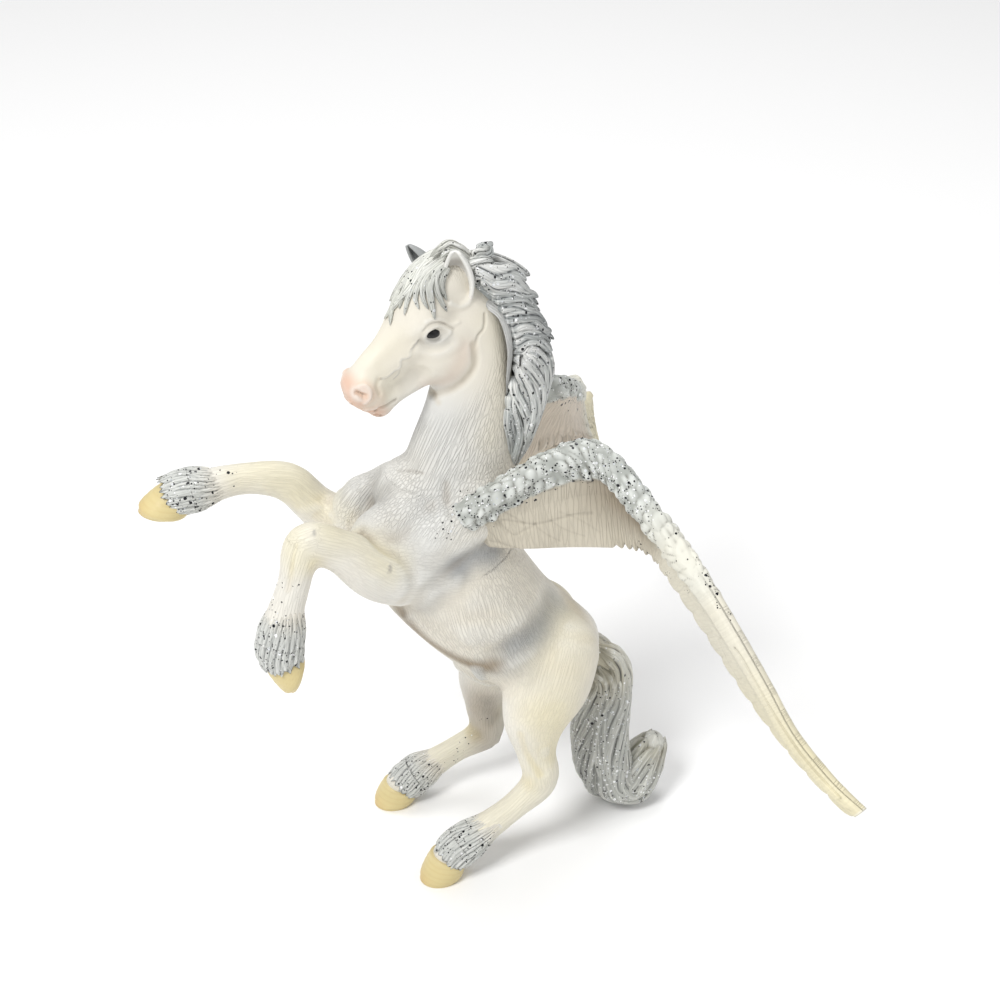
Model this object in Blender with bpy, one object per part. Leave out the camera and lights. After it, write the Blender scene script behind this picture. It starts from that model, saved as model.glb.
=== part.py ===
"""Rearing winged horse figurine, one solid moulding of painted plastic.

Metres, +Z up. The horse faces -X and its left side is -Y. It stands on both hind hooves and on the
curl of its tail, and the origin is on the floor under the middle of its outline.
"""
import bpy
import numpy as np

# Overall make
SKIN_VOXEL = 0.0009          # grid that fuses the sculpted forms into one skin
SKIN_SMOOTHING = 10          # passes that soften the joins between forms
FACE_BUDGET = 11500          # triangles kept on the finished skin
RING_POINTS = 28             # points around each form
RINGS_PER_SPAN = 7           # rings between two stations of a form
WING_RINGS_PER_SPAN = 14     # rings between two stations of a wing
CAP_ANGLES = (75.0, 50.0, 25.0)  # degrees at which the rings of a rounded end lie
FLOOR_CUT_HALF = 0.2         # half size of the block that levels the soles, and its depth
FLOOR_CUT_DEPTH = 0.05

# Trunk, rump to chest: stations on the middle plane as (x, z)
TRUNK_LINE = ((0.0260, 0.0415), (0.0200, 0.0505), (0.0115, 0.0593), (0.0040, 0.0692),
              (-0.0020, 0.0795), (-0.0045, 0.0880), (-0.0055, 0.0935))
TRUNK_HALF_DEPTH = (0.0085, 0.0118, 0.0136, 0.0148, 0.0154, 0.0136, 0.0095)
TRUNK_HALF_WIDTH = (0.0100, 0.0138, 0.0150, 0.0154, 0.0146, 0.0126, 0.0090)

# Neck, chest to poll
NECK_LINE = ((0.0010, 0.0880), (0.0032, 0.0960), (0.0042, 0.1040), (0.0055, 0.1140),
             (0.0062, 0.1240), (0.0045, 0.1330), (0.0015, 0.1390))
NECK_HALF_DEPTH = (0.0145, 0.0132, 0.0112, 0.0090, 0.0080, 0.0075, 0.0060)
NECK_HALF_WIDTH = (0.0124, 0.0108, 0.0086, 0.0066, 0.0058, 0.0056, 0.0050)

# Muscles of the near side, repeated on the far side: withers to elbow, and the breast
SHOULDER_LINE = ((0.0060, -0.0095, 0.0965), (0.0, -0.0110, 0.0900), (-0.0070, -0.0105, 0.0860),
                 (-0.0120, -0.0100, 0.0865))
SHOULDER_HALF_DEPTH = (0.0050, 0.0075, 0.0072, 0.0050)
SHOULDER_HALF_WIDTH = (0.0030, 0.0036, 0.0046, 0.0042)
BREAST_LINE = ((-0.0050, -0.0045, 0.0945), (-0.0115, -0.0055, 0.0915), (-0.0165, -0.0070, 0.0895),
               (-0.0185, -0.0085, 0.0850))
BREAST_HALF_DEPTH = (0.0055, 0.0056, 0.0054, 0.0045)
BREAST_HALF_WIDTH = (0.0050, 0.0050, 0.0046, 0.0042)

# Croup, over the loins to the rump
CROUP_LINE = ((0.0160, 0.0600), (0.0215, 0.0555), (0.0270, 0.0505))
CROUP_HALF_DEPTH = (0.0076, 0.0082, 0.0076)
CROUP_HALF_WIDTH = (0.0085, 0.0092, 0.0085)

# Head: turned a little to the left and hanging forward of the poll
HEAD_POLL = (0.0023, 0.0, 0.1440)
HEAD_TURN = 12.0             # degrees to the left
HEAD_DROP = 40.0             # degrees below level
# Skull and lower jaw: distance along the nose, height over its axis, and the radii there
SKULL_ALONG = (0.0010, 0.0050, 0.0100, 0.0150, 0.0200, 0.0250, 0.0294)
SKULL_UP = (-0.0006, -0.0003, -0.0012, -0.0025, -0.0030, -0.0028, -0.0033)
SKULL_HALF_DEPTH = (0.0054, 0.0060, 0.0060, 0.0055, 0.0048, 0.0045, 0.0040)
SKULL_HALF_WIDTH = (0.0046, 0.0054, 0.0059, 0.0052, 0.0041, 0.0036, 0.0035)
JAW_ALONG = (0.0125, 0.0200, 0.0260, 0.0295)
JAW_UP = (-0.0142, -0.0113, -0.0095, -0.0092)
JAW_HALF_DEPTH = (0.0036, 0.0029, 0.0026, 0.0025)
JAW_HALF_WIDTH = (0.0034, 0.0029, 0.0027, 0.0028)
# Rounded masses: (along, up, aside) of the middle, and the three radii
CHEEK = ((0.0112, -0.0102, 0.0022), (0.0081, 0.0083, 0.0047))
MUZZLE = ((0.0290, -0.0046, 0.0), (0.0039, 0.0052, 0.0043))
NOSTRIL = ((0.0294, -0.0022, 0.0027), (0.0028, 0.0028, 0.0021))
CHIN = ((0.0292, -0.0099, 0.0), (0.0030, 0.0022, 0.0027))
BROW = ((0.0110, 0.0006, 0.0047), (0.0044, 0.0020, 0.0017))

# Ears
EAR_RADIUS = 0.0024
NEAR_EAR = ((0.0030, -0.0046, 0.1395), (0.0022, -0.0060, 0.1450), (0.0009, -0.0065, 0.1495))
FAR_EAR = ((-0.0010, 0.0045, 0.1395), (-0.0025, 0.0056, 0.1435), (-0.0045, 0.0060, 0.1465))

# Hind legs, hip to hoof: stations as (x, z) and their radii
HIND_SPREAD = (0.0080, 0.0105, 0.0125, 0.0135, 0.0140, 0.0140, 0.0140, 0.0140)
NEAR_HIND = ((0.0225, 0.0535), (0.0195, 0.0465), (0.0165, 0.0390), (0.0164, 0.0310),
             (0.0172, 0.0228), (0.0105, 0.0160), (0.0005, 0.0092), (-0.0042, 0.0058))
FAR_HIND = ((0.0225, 0.0520), (0.0180, 0.0440), (0.0130, 0.0340), (0.0120, 0.0250),
            (0.0125, 0.0160), (0.0050, 0.0120), (-0.0040, 0.0072), (-0.0085, 0.0046))
HIND_HALF_DEPTH = (0.0100, 0.0100, 0.0075, 0.0048, 0.0044, 0.0034, 0.0044, 0.0042)
HIND_HALF_WIDTH = (0.0080, 0.0080, 0.0062, 0.0042, 0.0038, 0.0030, 0.0040, 0.0042)

# Hooves: how round the coronet is, how broad the sole, and where toe and heel lie
CORONET_RADIUS = 0.0041
SOLE_BREADTH = 0.92          # half width of the sole against its half length
SOLE_SINK = 0.0006           # how far the standing soles reach below the floor plane that cuts them
NEAR_HIND_TOE = (-0.0112, -0.0140, -SOLE_SINK)
NEAR_HIND_HEEL = (-0.0012, -0.0140, -SOLE_SINK)
FAR_HIND_TOE = (-0.0150, 0.0140, -SOLE_SINK)
FAR_HIND_HEEL = (-0.0056, 0.0140, -SOLE_SINK)

# Point of the hock, behind the joint, as seen on the near leg
HOCK_POINT = ((0.0145, 0.0270), (0.0196, 0.0220), (0.0180, 0.0180))
HOCK_RADIUS = (0.0015, 0.0015, 0.0013)
HOCK_STATION = 4             # which station of the hind leg is the hock

# Forelegs, elbow to hoof. The far one is stretched forward and sets the length of the figurine
FORE_REACH = 0.0628          # from the middle of the horse to the far front toe
FAR_FETLOCK_BACK = 0.0138    # how far the fetlock, the cannon, the pastern and the heel lie behind the toe
FAR_CANNON_BACK = 0.0228
FAR_PASTERN_BACK = 0.0093
FAR_HEEL_BACK = 0.0098
FORE_SPREAD = (0.0080, 0.0122, 0.0135, 0.0140, 0.0140, 0.0140, 0.0140)
NEAR_FORE = ((-0.0040, 0.0800), (-0.0165, 0.0842), (-0.0250, 0.0915), (-0.0320, 0.0950),
             (-0.0348, 0.0860), (-0.0380, 0.0755), (-0.0385, 0.0685))
FAR_FORE = ((-0.0080, 0.0800), (-0.0180, 0.0805), (-0.0245, 0.0855), (-0.0305, 0.0925),
            (FAR_CANNON_BACK - FORE_REACH, 0.0948), (FAR_FETLOCK_BACK - FORE_REACH, 0.0938),
            (FAR_PASTERN_BACK - FORE_REACH, 0.0932))
FORE_HALF_DEPTH = (0.0088, 0.0064, 0.0046, 0.0043, 0.0036, 0.0048, 0.0050)
FORE_HALF_WIDTH = (0.0080, 0.0058, 0.0043, 0.0040, 0.0033, 0.0044, 0.0046)
NEAR_FORE_TOE = (-0.0376, -0.0140, 0.0586)
NEAR_FORE_HEEL = (-0.0336, -0.0140, 0.0664)
FAR_FORE_TOE = (-FORE_REACH, 0.0140, 0.0908)
FAR_FORE_HEEL = (FAR_HEEL_BACK - FORE_REACH, 0.0140, 0.0882)

# Wing: places are (back, out from the middle, height)
HALF_WINGSPAN = 0.0828       # from the middle of the horse to a wing tip
WING_TIP_BACK = 0.0592
WING_TIP_HEIGHT = 0.0612
WING_ARM = ((0.0003, 0.0125, 0.0942), (0.0092, 0.0135, 0.0996), (0.0181, 0.0138, 0.1040))
WING_WRIST = (0.0263, 0.0145, 0.1057)
# Hand, wrist to tip: share of the way, and how far the leading edge bows back and hangs below it
HAND_SHARE = (0.05, 0.15, 0.27, 0.41, 0.53, 0.66, 0.77, 0.89, 1.0)
HAND_BOW = (0.0029, 0.0037, 0.0034, 0.0012, -0.0001, -0.0010, -0.0005, 0.0001, 0.0)
HAND_SAG = (0.0, 0.0012, 0.0010, -0.0012, -0.0009, 0.0001, 0.0022, 0.0027, 0.0)
# Feathers: how far the trailing edge lies back, in towards the body and down from the leading edge
FEATHER_BACK = (0.0057, 0.0043, 0.0034, 0.0031, 0.0034, 0.0029, 0.0006, 0.0, 0.0001,
                0.0002, 0.0001, 0.0, 0.0)
FEATHER_IN = (0.0005, -0.0007, -0.0022, -0.0045, -0.0014, 0.0052, 0.0127, 0.0156, 0.0155,
              0.0142, 0.0120, 0.0090, 0.0038)
FEATHER_DOWN = (0.0082, 0.0140, 0.0184, 0.0197, 0.0189, 0.0158, 0.0145, 0.0143, 0.0140,
                0.0124, 0.0102, 0.0074, 0.0042)
WING_LEAD_RADIUS = (0.0032, 0.0033, 0.0035, 0.0038, 0.0036, 0.0035, 0.0032, 0.0029, 0.0027,
                    0.0025, 0.0023, 0.0021, 0.0017)
WING_EDGE_RADIUS = 0.0010    # half thickness of the feathers at the trailing edge
FEATHERS = 13                # feather ends along the trailing edge
FEATHER_SCALLOP = 0.0016     # depth of the notch between two feather ends

# Tail, rump to the curled tip
TAIL_LINE = ((0.0300, 0.0, 0.0470), (0.0370, 0.0, 0.0400), (0.0365, 0.0, 0.0300),
             (0.0360, 0.0, 0.0190), (0.0385, 0.0, 0.0085), (0.0430, 0.0, 0.0050),
             (0.0480, 0.0, 0.0090), (0.0500, 0.0, 0.0170))
TAIL_HALF_DEPTH = (0.0045, 0.0040, 0.0052, 0.0056, 0.0058, 0.0054, 0.0046, 0.0030)
TAIL_HALF_WIDTH = (0.0045, 0.0050, 0.0060, 0.0070, 0.0072, 0.0068, 0.0058, 0.0036)

# Mane: a crest of hair down the back of the neck, the locks on it, and the tuft between the ears
MANE_LINE = ((0.0060, 0, 0.1420), (0.0114, 0, 0.1378), (0.0156, 0, 0.1315), (0.0176, 0, 0.1250),
             (0.0174, 0, 0.1180), (0.0162, 0, 0.1100), (0.0150, 0, 0.1025))
MANE_HALF_DEPTH = (0.0026, 0.0033, 0.0036, 0.0036, 0.0031, 0.0022, 0.0014)
MANE_HALF_WIDTH = (0.0030, 0.0036, 0.0038, 0.0038, 0.0036, 0.0030, 0.0020)
# Locks of one side: the first and the last of a group, with the others spaced evenly between them
SWEPT_LOCKS = 4
SWEPT_FIRST = ((0.0094, 0.0034, 0.1390), (0.0135, 0.0038, 0.1392), (0.0180, 0.0015, 0.1374))
SWEPT_LAST = ((0.0133, 0.0036, 0.1286), (0.0176, 0.0040, 0.1278), (0.0218, 0.0015, 0.1242))
HUNG_LOCKS = 3
HUNG_FIRST = ((0.0145, 0.0038, 0.1265), (0.0188, 0.0040, 0.1215), (0.0187, 0.0038, 0.1145),
              (0.0160, 0.0034, 0.1060))
HUNG_LAST = ((0.0138, 0.0038, 0.1200), (0.0146, 0.0046, 0.1130), (0.0148, 0.0044, 0.1060),
             (0.0138, 0.0036, 0.1012))
LOCK_HALF_DEPTH = 0.0015
LOCK_HALF_WIDTH = 0.0018
LOCK_TIP_SHARE = 0.4         # radius at a lock's tip against its middle
FORELOCK_LINE = ((0.0040, 0.0, 0.1430), (0.0005, -0.0005, 0.1455), (-0.0040, -0.0015, 0.1427),
                 (-0.0085, -0.0025, 0.1378))
FORELOCK_RADIUS = (0.0026, 0.0030, 0.0036, 0.0020)

SKIN_COLOUR = (0.78, 0.76, 0.70, 1.0)


def clear_scene():
    for old in list(bpy.data.objects):
        bpy.data.objects.remove(old, do_unlink=True)


def smooth_line(stations, per_span):
    """Points of a Catmull-Rom curve through the stations, one row for each point."""
    knots = np.asarray(stations, float)
    padded = np.vstack([2 * knots[0] - knots[1], knots, 2 * knots[-1] - knots[-2]])
    steps = np.arange(per_span) / per_span
    rows = []
    for a, b, c, d in zip(padded[:-3], padded[1:-2], padded[2:-1], padded[3:]):
        t = steps[:, None]
        rows.append(0.5 * (2 * b + (c - a) * t + (2 * a - 5 * b + 4 * c - d) * t ** 2
                           + (3 * b - a - 3 * c + d) * t ** 3))
    rows.append(knots[-1:])
    return np.vstack(rows)


def unit(vectors):
    return vectors / np.maximum(np.linalg.norm(vectors, axis=-1, keepdims=True), 1e-9)


def skin_grid(rings):
    """Mesh of rings that follow each other, closed at both ends by a fan to the ring's middle."""
    count, around = rings.shape[:2]
    points = [tuple(p) for p in rings.reshape(-1, 3)]
    faces = []
    for i in range(count - 1):
        for j in range(around):
            k = (j + 1) % around
            faces.append((i * around + j, i * around + k, (i + 1) * around + k, (i + 1) * around + j))
    first, last = len(points), len(points) + 1
    points.append(tuple(rings[0].mean(axis=0)))
    points.append(tuple(rings[-1].mean(axis=0)))
    for j in range(around):
        k = (j + 1) % around
        faces.append((first, k, j))
        base = (count - 1) * around
        faces.append((last, base + j, base + k))
    return points, faces


def loft(line, half_depth, half_width, side=(0.0, 1.0, 0.0)):
    """Round-ended form: ellipses along a smooth line, wide along side and deep across it."""
    centre = smooth_line(line, RINGS_PER_SPAN)
    sizes = smooth_line(np.column_stack([half_depth, half_width]), RINGS_PER_SPAN)
    tangent = unit(np.gradient(centre, axis=0))
    across = np.asarray(side, float) - (tangent @ np.asarray(side, float))[:, None] * tangent
    across = unit(across)
    deep = np.cross(tangent, across)
    cap = np.radians(CAP_ANGLES)
    head = [(centre[0] - tangent[0] * sizes[0].mean() * np.sin(a), sizes[0] * np.cos(a), 0) for a in cap]
    tail = [(centre[-1] + tangent[-1] * sizes[-1].mean() * np.sin(a), sizes[-1] * np.cos(a), -1)
            for a in cap[::-1]]
    body = [(c, s, i) for i, (c, s) in enumerate(zip(centre, sizes))]
    turn = np.linspace(0, 2 * np.pi, RING_POINTS, endpoint=False)
    rings = [c + np.outer(np.cos(turn), across[i] * s[1]) + np.outer(np.sin(turn), deep[i] * s[0])
             for c, s, i in head + body + tail]
    return skin_grid(np.array(rings))


def in_plane(pairs, spread, sign):
    """Stations of a leg: (x, z) pairs set out sideways by the spread at each."""
    return [(x, sign * y, z) for (x, z), y in zip(pairs, spread)]


def hoof(coronet, toe, heel):
    """Wall of the hoof: rings that pass in straight lines from the coronet to the sole."""
    coronet, toe, heel = (np.asarray(p, float) for p in (coronet, toe, heel))
    sole = (toe + heel) / 2
    front = unit(toe - heel)
    side = np.array([0.0, 1.0, 0.0])
    down = unit(sole - coronet)
    brow = unit(front - (front @ down) * down)
    turn = np.linspace(0, 2 * np.pi, RING_POINTS, endpoint=False)
    top = coronet + CORONET_RADIUS * (np.outer(np.cos(turn), brow) + np.outer(np.sin(turn), side))
    reach = np.linalg.norm(toe - heel) / 2
    base = sole + reach * (np.outer(np.cos(turn), front) + np.outer(np.sin(turn), side) * SOLE_BREADTH)
    share = np.linspace(0, 1, RINGS_PER_SPAN)[:, None, None]
    return skin_grid(top + (base - top) * share)


def head_frame():
    """Axes of the head: forward along the nose, up out of the face, and aside."""
    turn, drop = np.radians(HEAD_TURN), np.radians(HEAD_DROP)
    level = np.array([-np.cos(turn), -np.sin(turn), 0.0])
    rise = np.array([0.0, 0.0, 1.0])
    forward = level * np.cos(drop) - rise * np.sin(drop)
    up = level * np.sin(drop) + rise * np.cos(drop)
    return forward, up, np.cross(forward, up)


def ball(middle, axes, radii):
    """Ellipsoid as rings along its first axis."""
    along = np.radians(np.linspace(5, 175, RING_POINTS // 2))
    turn = np.linspace(0, 2 * np.pi, RING_POINTS, endpoint=False)
    ring = np.outer(np.cos(turn), axes[1] * radii[1]) + np.outer(np.sin(turn), axes[2] * radii[2])
    rings = [middle - axes[0] * radii[0] * np.cos(a) + ring * np.sin(a) for a in along]
    return skin_grid(np.array(rings))


def head():
    """Skull, lower jaw and the rounded masses on them, placed along the head's own axes."""
    axes = head_frame()
    poll = np.asarray(HEAD_POLL)
    shapes = []
    for along, up, half_depth, half_width in ((SKULL_ALONG, SKULL_UP, SKULL_HALF_DEPTH, SKULL_HALF_WIDTH),
                                              (JAW_ALONG, JAW_UP, JAW_HALF_DEPTH, JAW_HALF_WIDTH)):
        line = [poll + axes[0] * s + axes[1] * c for s, c in zip(along, up)]
        shapes.append(loft(line, half_depth, half_width, side=axes[2]))
    for (along, up, aside), radii in (CHEEK, MUZZLE, NOSTRIL, CHIN, BROW):
        for sign in ((-1, 1) if aside else (1,)):
            middle = poll + axes[0] * along + axes[1] * up + axes[2] * aside * sign
            shapes.append(ball(middle, axes, radii))
    return shapes


def locks(first, last, number, sign):
    """Locks of hair of one side of the mane, spaced evenly from the first to the last."""
    first = np.array(first) * (1, sign, 1)
    last = np.array(last) * (1, sign, 1)
    taper = np.ones(len(first))
    taper[-1] = LOCK_TIP_SHARE
    return [loft(first + (last - first) * share, LOCK_HALF_DEPTH * taper, LOCK_HALF_WIDTH * taper)
            for share in np.linspace(0, 1, number)]


def mirrored(line, sign):
    """Stations of the near side, or the same on the far side."""
    return [(x, -sign * y, z) for x, y, z in line]


def ear(line):
    """Leaf-shaped ear from its root to its pointed tip."""
    return loft(line, (EAR_RADIUS * 0.7, EAR_RADIUS * 0.8, EAR_RADIUS * 0.3),
                (EAR_RADIUS, EAR_RADIUS * 1.2, EAR_RADIUS * 0.35))


def wing_edges():
    """Leading and trailing edge of the left wing, shoulder to tip."""
    wrist = np.array(WING_WRIST)
    tip = np.array([WING_TIP_BACK, HALF_WINGSPAN, WING_TIP_HEIGHT])
    hand = [wrist + (tip - wrist) * share + (bow, 0, -sag)
            for share, bow, sag in zip(HAND_SHARE, HAND_BOW, HAND_SAG)]
    lead = np.array([*WING_ARM, WING_WRIST, *hand])
    trail = lead + np.column_stack([FEATHER_BACK, np.negative(FEATHER_IN), np.negative(FEATHER_DOWN)])
    outward = np.array([1.0, -1.0, 1.0])
    return lead * outward, trail * outward


def wing(sign):
    """Blade between the leading and trailing edges: a round bone in front, thin feathers behind."""
    spans = WING_RINGS_PER_SPAN
    lead, trail = (smooth_line(edge, spans) for edge in wing_edges())
    radius = smooth_line(np.array(WING_LEAD_RADIUS)[:, None], spans)[:, 0]
    position = np.linspace(0, 1, len(lead))
    notch = FEATHER_SCALLOP * (1 - np.abs(np.sin(np.pi * position * FEATHERS))) * (position > 0.08)
    chord = trail - lead
    length = np.linalg.norm(chord, axis=1)
    chord = unit(chord)
    length = length - notch
    span = unit(np.gradient(lead, axis=0))
    thick = unit(np.cross(span, chord))
    turn = np.linspace(0, 2 * np.pi, RING_POINTS, endpoint=False)
    reach = (1 - np.cos(turn)) / 2
    rings = []
    for p, c, n, r, full in zip(lead, chord, thick, radius, length):
        along = -r + reach * (full + r)
        share = np.clip(along / np.maximum(full * 0.45, r), 0, 1)
        half = r + (WING_EDGE_RADIUS - r) * share ** 0.7
        side = np.sign(np.sin(turn)) * np.abs(np.sin(turn)) ** 0.5
        rings.append(p + np.outer(along, c) + np.outer(half * side, n))
    rings = np.array(rings)
    if sign > 0:
        rings = rings[:, ::-1] * np.array([1.0, -1.0, 1.0])
    return skin_grid(rings)


def forms():
    """Every sculpted form of the figurine, as points and faces."""
    trunk = [(x, 0.0, z) for x, z in TRUNK_LINE]
    neck = [(x, 0.0, z) for x, z in NECK_LINE]
    croup = [(x, 0.0, z) for x, z in CROUP_LINE]
    shapes = [loft(trunk, TRUNK_HALF_DEPTH, TRUNK_HALF_WIDTH),
              loft(neck, NECK_HALF_DEPTH, NECK_HALF_WIDTH),
              loft(croup, CROUP_HALF_DEPTH, CROUP_HALF_WIDTH),
              *head(), ear(NEAR_EAR), ear(FAR_EAR),
              loft(MANE_LINE, MANE_HALF_DEPTH, MANE_HALF_WIDTH),
              loft(FORELOCK_LINE, FORELOCK_RADIUS, FORELOCK_RADIUS),
              loft(TAIL_LINE, TAIL_HALF_DEPTH, TAIL_HALF_WIDTH)]
    for sign in (-1, 1):
        shapes.append(wing(sign))
        shapes.append(loft(mirrored(SHOULDER_LINE, sign), SHOULDER_HALF_DEPTH, SHOULDER_HALF_WIDTH))
        shapes.append(loft(mirrored(BREAST_LINE, sign), BREAST_HALF_DEPTH, BREAST_HALF_WIDTH))
        shapes += locks(SWEPT_FIRST, SWEPT_LAST, SWEPT_LOCKS, sign)
        shapes += locks(HUNG_FIRST, HUNG_LAST, HUNG_LOCKS, sign)
    for pairs, sign, toe, heel in ((NEAR_HIND, -1, NEAR_HIND_TOE, NEAR_HIND_HEEL),
                                   (FAR_HIND, 1, FAR_HIND_TOE, FAR_HIND_HEEL)):
        leg = in_plane(pairs, HIND_SPREAD, sign)
        shapes.append(loft(leg, HIND_HALF_DEPTH, HIND_HALF_WIDTH))
        hock = np.array(leg[HOCK_STATION]) - (NEAR_HIND[HOCK_STATION][0], 0, NEAR_HIND[HOCK_STATION][1])
        shapes.append(loft([hock + (x, 0, z) for x, z in HOCK_POINT], HOCK_RADIUS, HOCK_RADIUS))
        shapes.append(hoof(leg[-1], toe, heel))
    for pairs, sign, toe, heel in ((NEAR_FORE, -1, NEAR_FORE_TOE, NEAR_FORE_HEEL),
                                   (FAR_FORE, 1, FAR_FORE_TOE, FAR_FORE_HEEL)):
        leg = in_plane(pairs, FORE_SPREAD, sign)
        shapes.append(loft(leg, FORE_HALF_DEPTH, FORE_HALF_WIDTH))
        shapes.append(hoof(leg[-1], toe, heel))
    return shapes


def painted_plastic():
    paint = bpy.data.materials.new("painted_plastic")
    paint.use_nodes = True
    shader = paint.node_tree.nodes["Principled BSDF"]
    shader.inputs["Base Color"].default_value = SKIN_COLOUR
    shader.inputs["Roughness"].default_value = 0.55
    shader.inputs["Metallic"].default_value = 0.0
    return paint


def pegasus():
    points, faces = [], []
    for shape_points, shape_faces in forms():
        shift = len(points)
        points += shape_points
        faces += [tuple(i + shift for i in face) for face in shape_faces]
    low = np.min(points, axis=0)
    high = np.max(points, axis=0)
    middle = np.array([(low[0] + high[0]) / 2, (low[1] + high[1]) / 2, 0.0])
    mesh = bpy.data.meshes.new("pegasus")
    mesh.from_pydata([tuple(np.asarray(p) - middle) for p in points], [], faces)
    body = bpy.data.objects.new("pegasus", mesh)
    bpy.context.collection.objects.link(body)
    mesh.materials.append(painted_plastic())

    skin = body.modifiers.new("skin", "REMESH")
    skin.mode = "VOXEL"
    skin.voxel_size = SKIN_VOXEL
    soften = body.modifiers.new("soften", "SMOOTH")
    soften.factor = 0.5
    soften.iterations = SKIN_SMOOTHING

    floor = bpy.data.objects.new("floor_cut", bpy.data.meshes.new("floor_cut"))
    bpy.context.collection.objects.link(floor)
    sides_at = (-FLOOR_CUT_HALF, FLOOR_CUT_HALF)
    corners = [(x, y, z) for x in sides_at for y in sides_at for z in (-FLOOR_CUT_DEPTH, 0.0)]
    sides = [(0, 1, 3, 2), (4, 6, 7, 5), (0, 4, 5, 1), (2, 3, 7, 6), (0, 2, 6, 4), (1, 5, 7, 3)]
    floor.data.from_pydata(corners, [], sides)
    floor.hide_render = True
    floor.display_type = "WIRE"
    thin = body.modifiers.new("thin", "DECIMATE")
    thin.ratio = 0.1
    soles = body.modifiers.new("soles", "BOOLEAN")
    soles.operation = "DIFFERENCE"
    soles.solver = "EXACT"
    soles.object = floor
    return body


def keep_face_budget(body):
    """Sets how far the skin is thinned, so that it ends near the budget of triangles."""
    thin = body.modifiers["thin"]
    soles = body.modifiers["soles"]
    soles.show_viewport = soles.show_render = False
    thin.show_viewport = thin.show_render = False
    graph = bpy.context.evaluated_depsgraph_get()
    mesh = body.evaluated_get(graph).to_mesh()
    mesh.calc_loop_triangles()
    full = len(mesh.loop_triangles)
    body.evaluated_get(graph).to_mesh_clear()
    thin.ratio = min(1.0, FACE_BUDGET / full)
    thin.show_viewport = thin.show_render = True
    soles.show_viewport = soles.show_render = True
    return full


clear_scene()
figure = pegasus()
print("skin before thinning:", keep_face_budget(figure), "triangles")
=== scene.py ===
import bpy
import bmesh
import numpy as np
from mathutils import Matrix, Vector
from mathutils.bvhtree import BVHTree


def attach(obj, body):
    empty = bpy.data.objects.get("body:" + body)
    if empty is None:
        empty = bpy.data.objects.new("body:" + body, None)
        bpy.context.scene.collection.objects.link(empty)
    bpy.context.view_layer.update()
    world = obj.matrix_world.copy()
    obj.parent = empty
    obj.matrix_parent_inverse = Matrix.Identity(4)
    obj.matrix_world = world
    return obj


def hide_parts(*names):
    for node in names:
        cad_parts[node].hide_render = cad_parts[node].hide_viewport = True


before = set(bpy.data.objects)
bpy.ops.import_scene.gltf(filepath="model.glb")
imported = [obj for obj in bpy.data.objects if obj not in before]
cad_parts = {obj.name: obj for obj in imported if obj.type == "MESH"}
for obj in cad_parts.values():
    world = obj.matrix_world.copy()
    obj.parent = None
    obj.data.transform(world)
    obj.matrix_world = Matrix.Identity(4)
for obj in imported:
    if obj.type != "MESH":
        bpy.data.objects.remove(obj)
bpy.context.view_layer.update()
print("frame loaded")

# Shapes are written in millimetres: the horse faces -X, its left side is at -Y, the floor is z = 0
millimetre = 0.001
sculptShift = np.array((1.073, 0.0, 0.0))    # from the sculptor's zero to the middle of the CAD box
rng = np.random.default_rng(7)


def toScene(points):
    return (np.asarray(points, float) + sculptShift) * millimetre


def unit(vectors):
    return vectors / np.maximum(np.linalg.norm(vectors, axis=-1, keepdims=True), 1e-9)


def ramp(values, low, high):
    # smooth step from 0 at low to 1 at high
    t = np.clip((np.asarray(values, float) - low) / (high - low), 0, 1)
    return t * t * (3 - 2 * t)


def tint(red, green, blue):
    # a colour picked from a picture, turned into linear light
    c = np.array((red, green, blue)) / 255.0
    return np.where(c <= 0.04045, c / 12.92, ((c + 0.055) / 1.055) ** 2.4)


def placed(name, data):
    thing = bpy.data.objects.new(name, data)
    bpy.context.collection.objects.link(thing)
    return thing


def aim(thing, direction):
    # turns a camera or a lamp to look along the direction
    thing.rotation_mode = "QUATERNION"
    thing.rotation_quaternion = Vector(direction).to_track_quat("-Z", "Y")


# Camera at the photograph's viewing angle
cameraView = {"target": (12.0, 0.0, 89.0), "azimuth": -16.0, "elevation": 32.5, "distance": 420.0,
              "lens": 72.0, "sensor": 36.0, "pixels": 1000.0, "clip": (0.01, 20.0)}
a, e = np.radians(cameraView["azimuth"]), np.radians(cameraView["elevation"])
viewBack = np.array((np.sin(a) * np.cos(e), -np.cos(a) * np.cos(e), np.sin(e)))
viewRight = np.array((np.cos(a), np.sin(a), 0.0))
viewUp = np.cross(viewBack, viewRight)
viewEye = np.array(cameraView["target"]) + viewBack * cameraView["distance"]


def makeCamera():
    lens = bpy.data.cameras.new("photo_camera")
    lens.lens = cameraView["lens"]
    lens.sensor_width = cameraView["sensor"]
    lens.clip_start, lens.clip_end = cameraView["clip"]
    camera = placed("photo_camera", lens)
    camera.location = toScene(viewEye)
    aim(camera, -viewBack)
    bpy.context.scene.camera = camera


def photoRays(pixels):
    # direction from the eye through each pixel of the photograph
    pixels = np.atleast_2d(np.asarray(pixels, float))
    focal = cameraView["lens"] / cameraView["sensor"] * cameraView["pixels"]
    half = cameraView["pixels"] / 2
    return (viewRight * (pixels[:, :1] - half) - viewUp * (pixels[:, 1:2] - half)) / focal - viewBack


def fromPhoto(rows):
    # point behind each pixel (x, y) of the photograph at a given distance across the middle plane
    rows = np.atleast_2d(np.asarray(rows, float))
    rays = photoRays(rows)
    reach = (rows[:, 2] - viewEye[1]) / rays[:, 1]
    return viewEye + rays * reach[:, None]


makeCamera()
print("camera placed")

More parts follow.
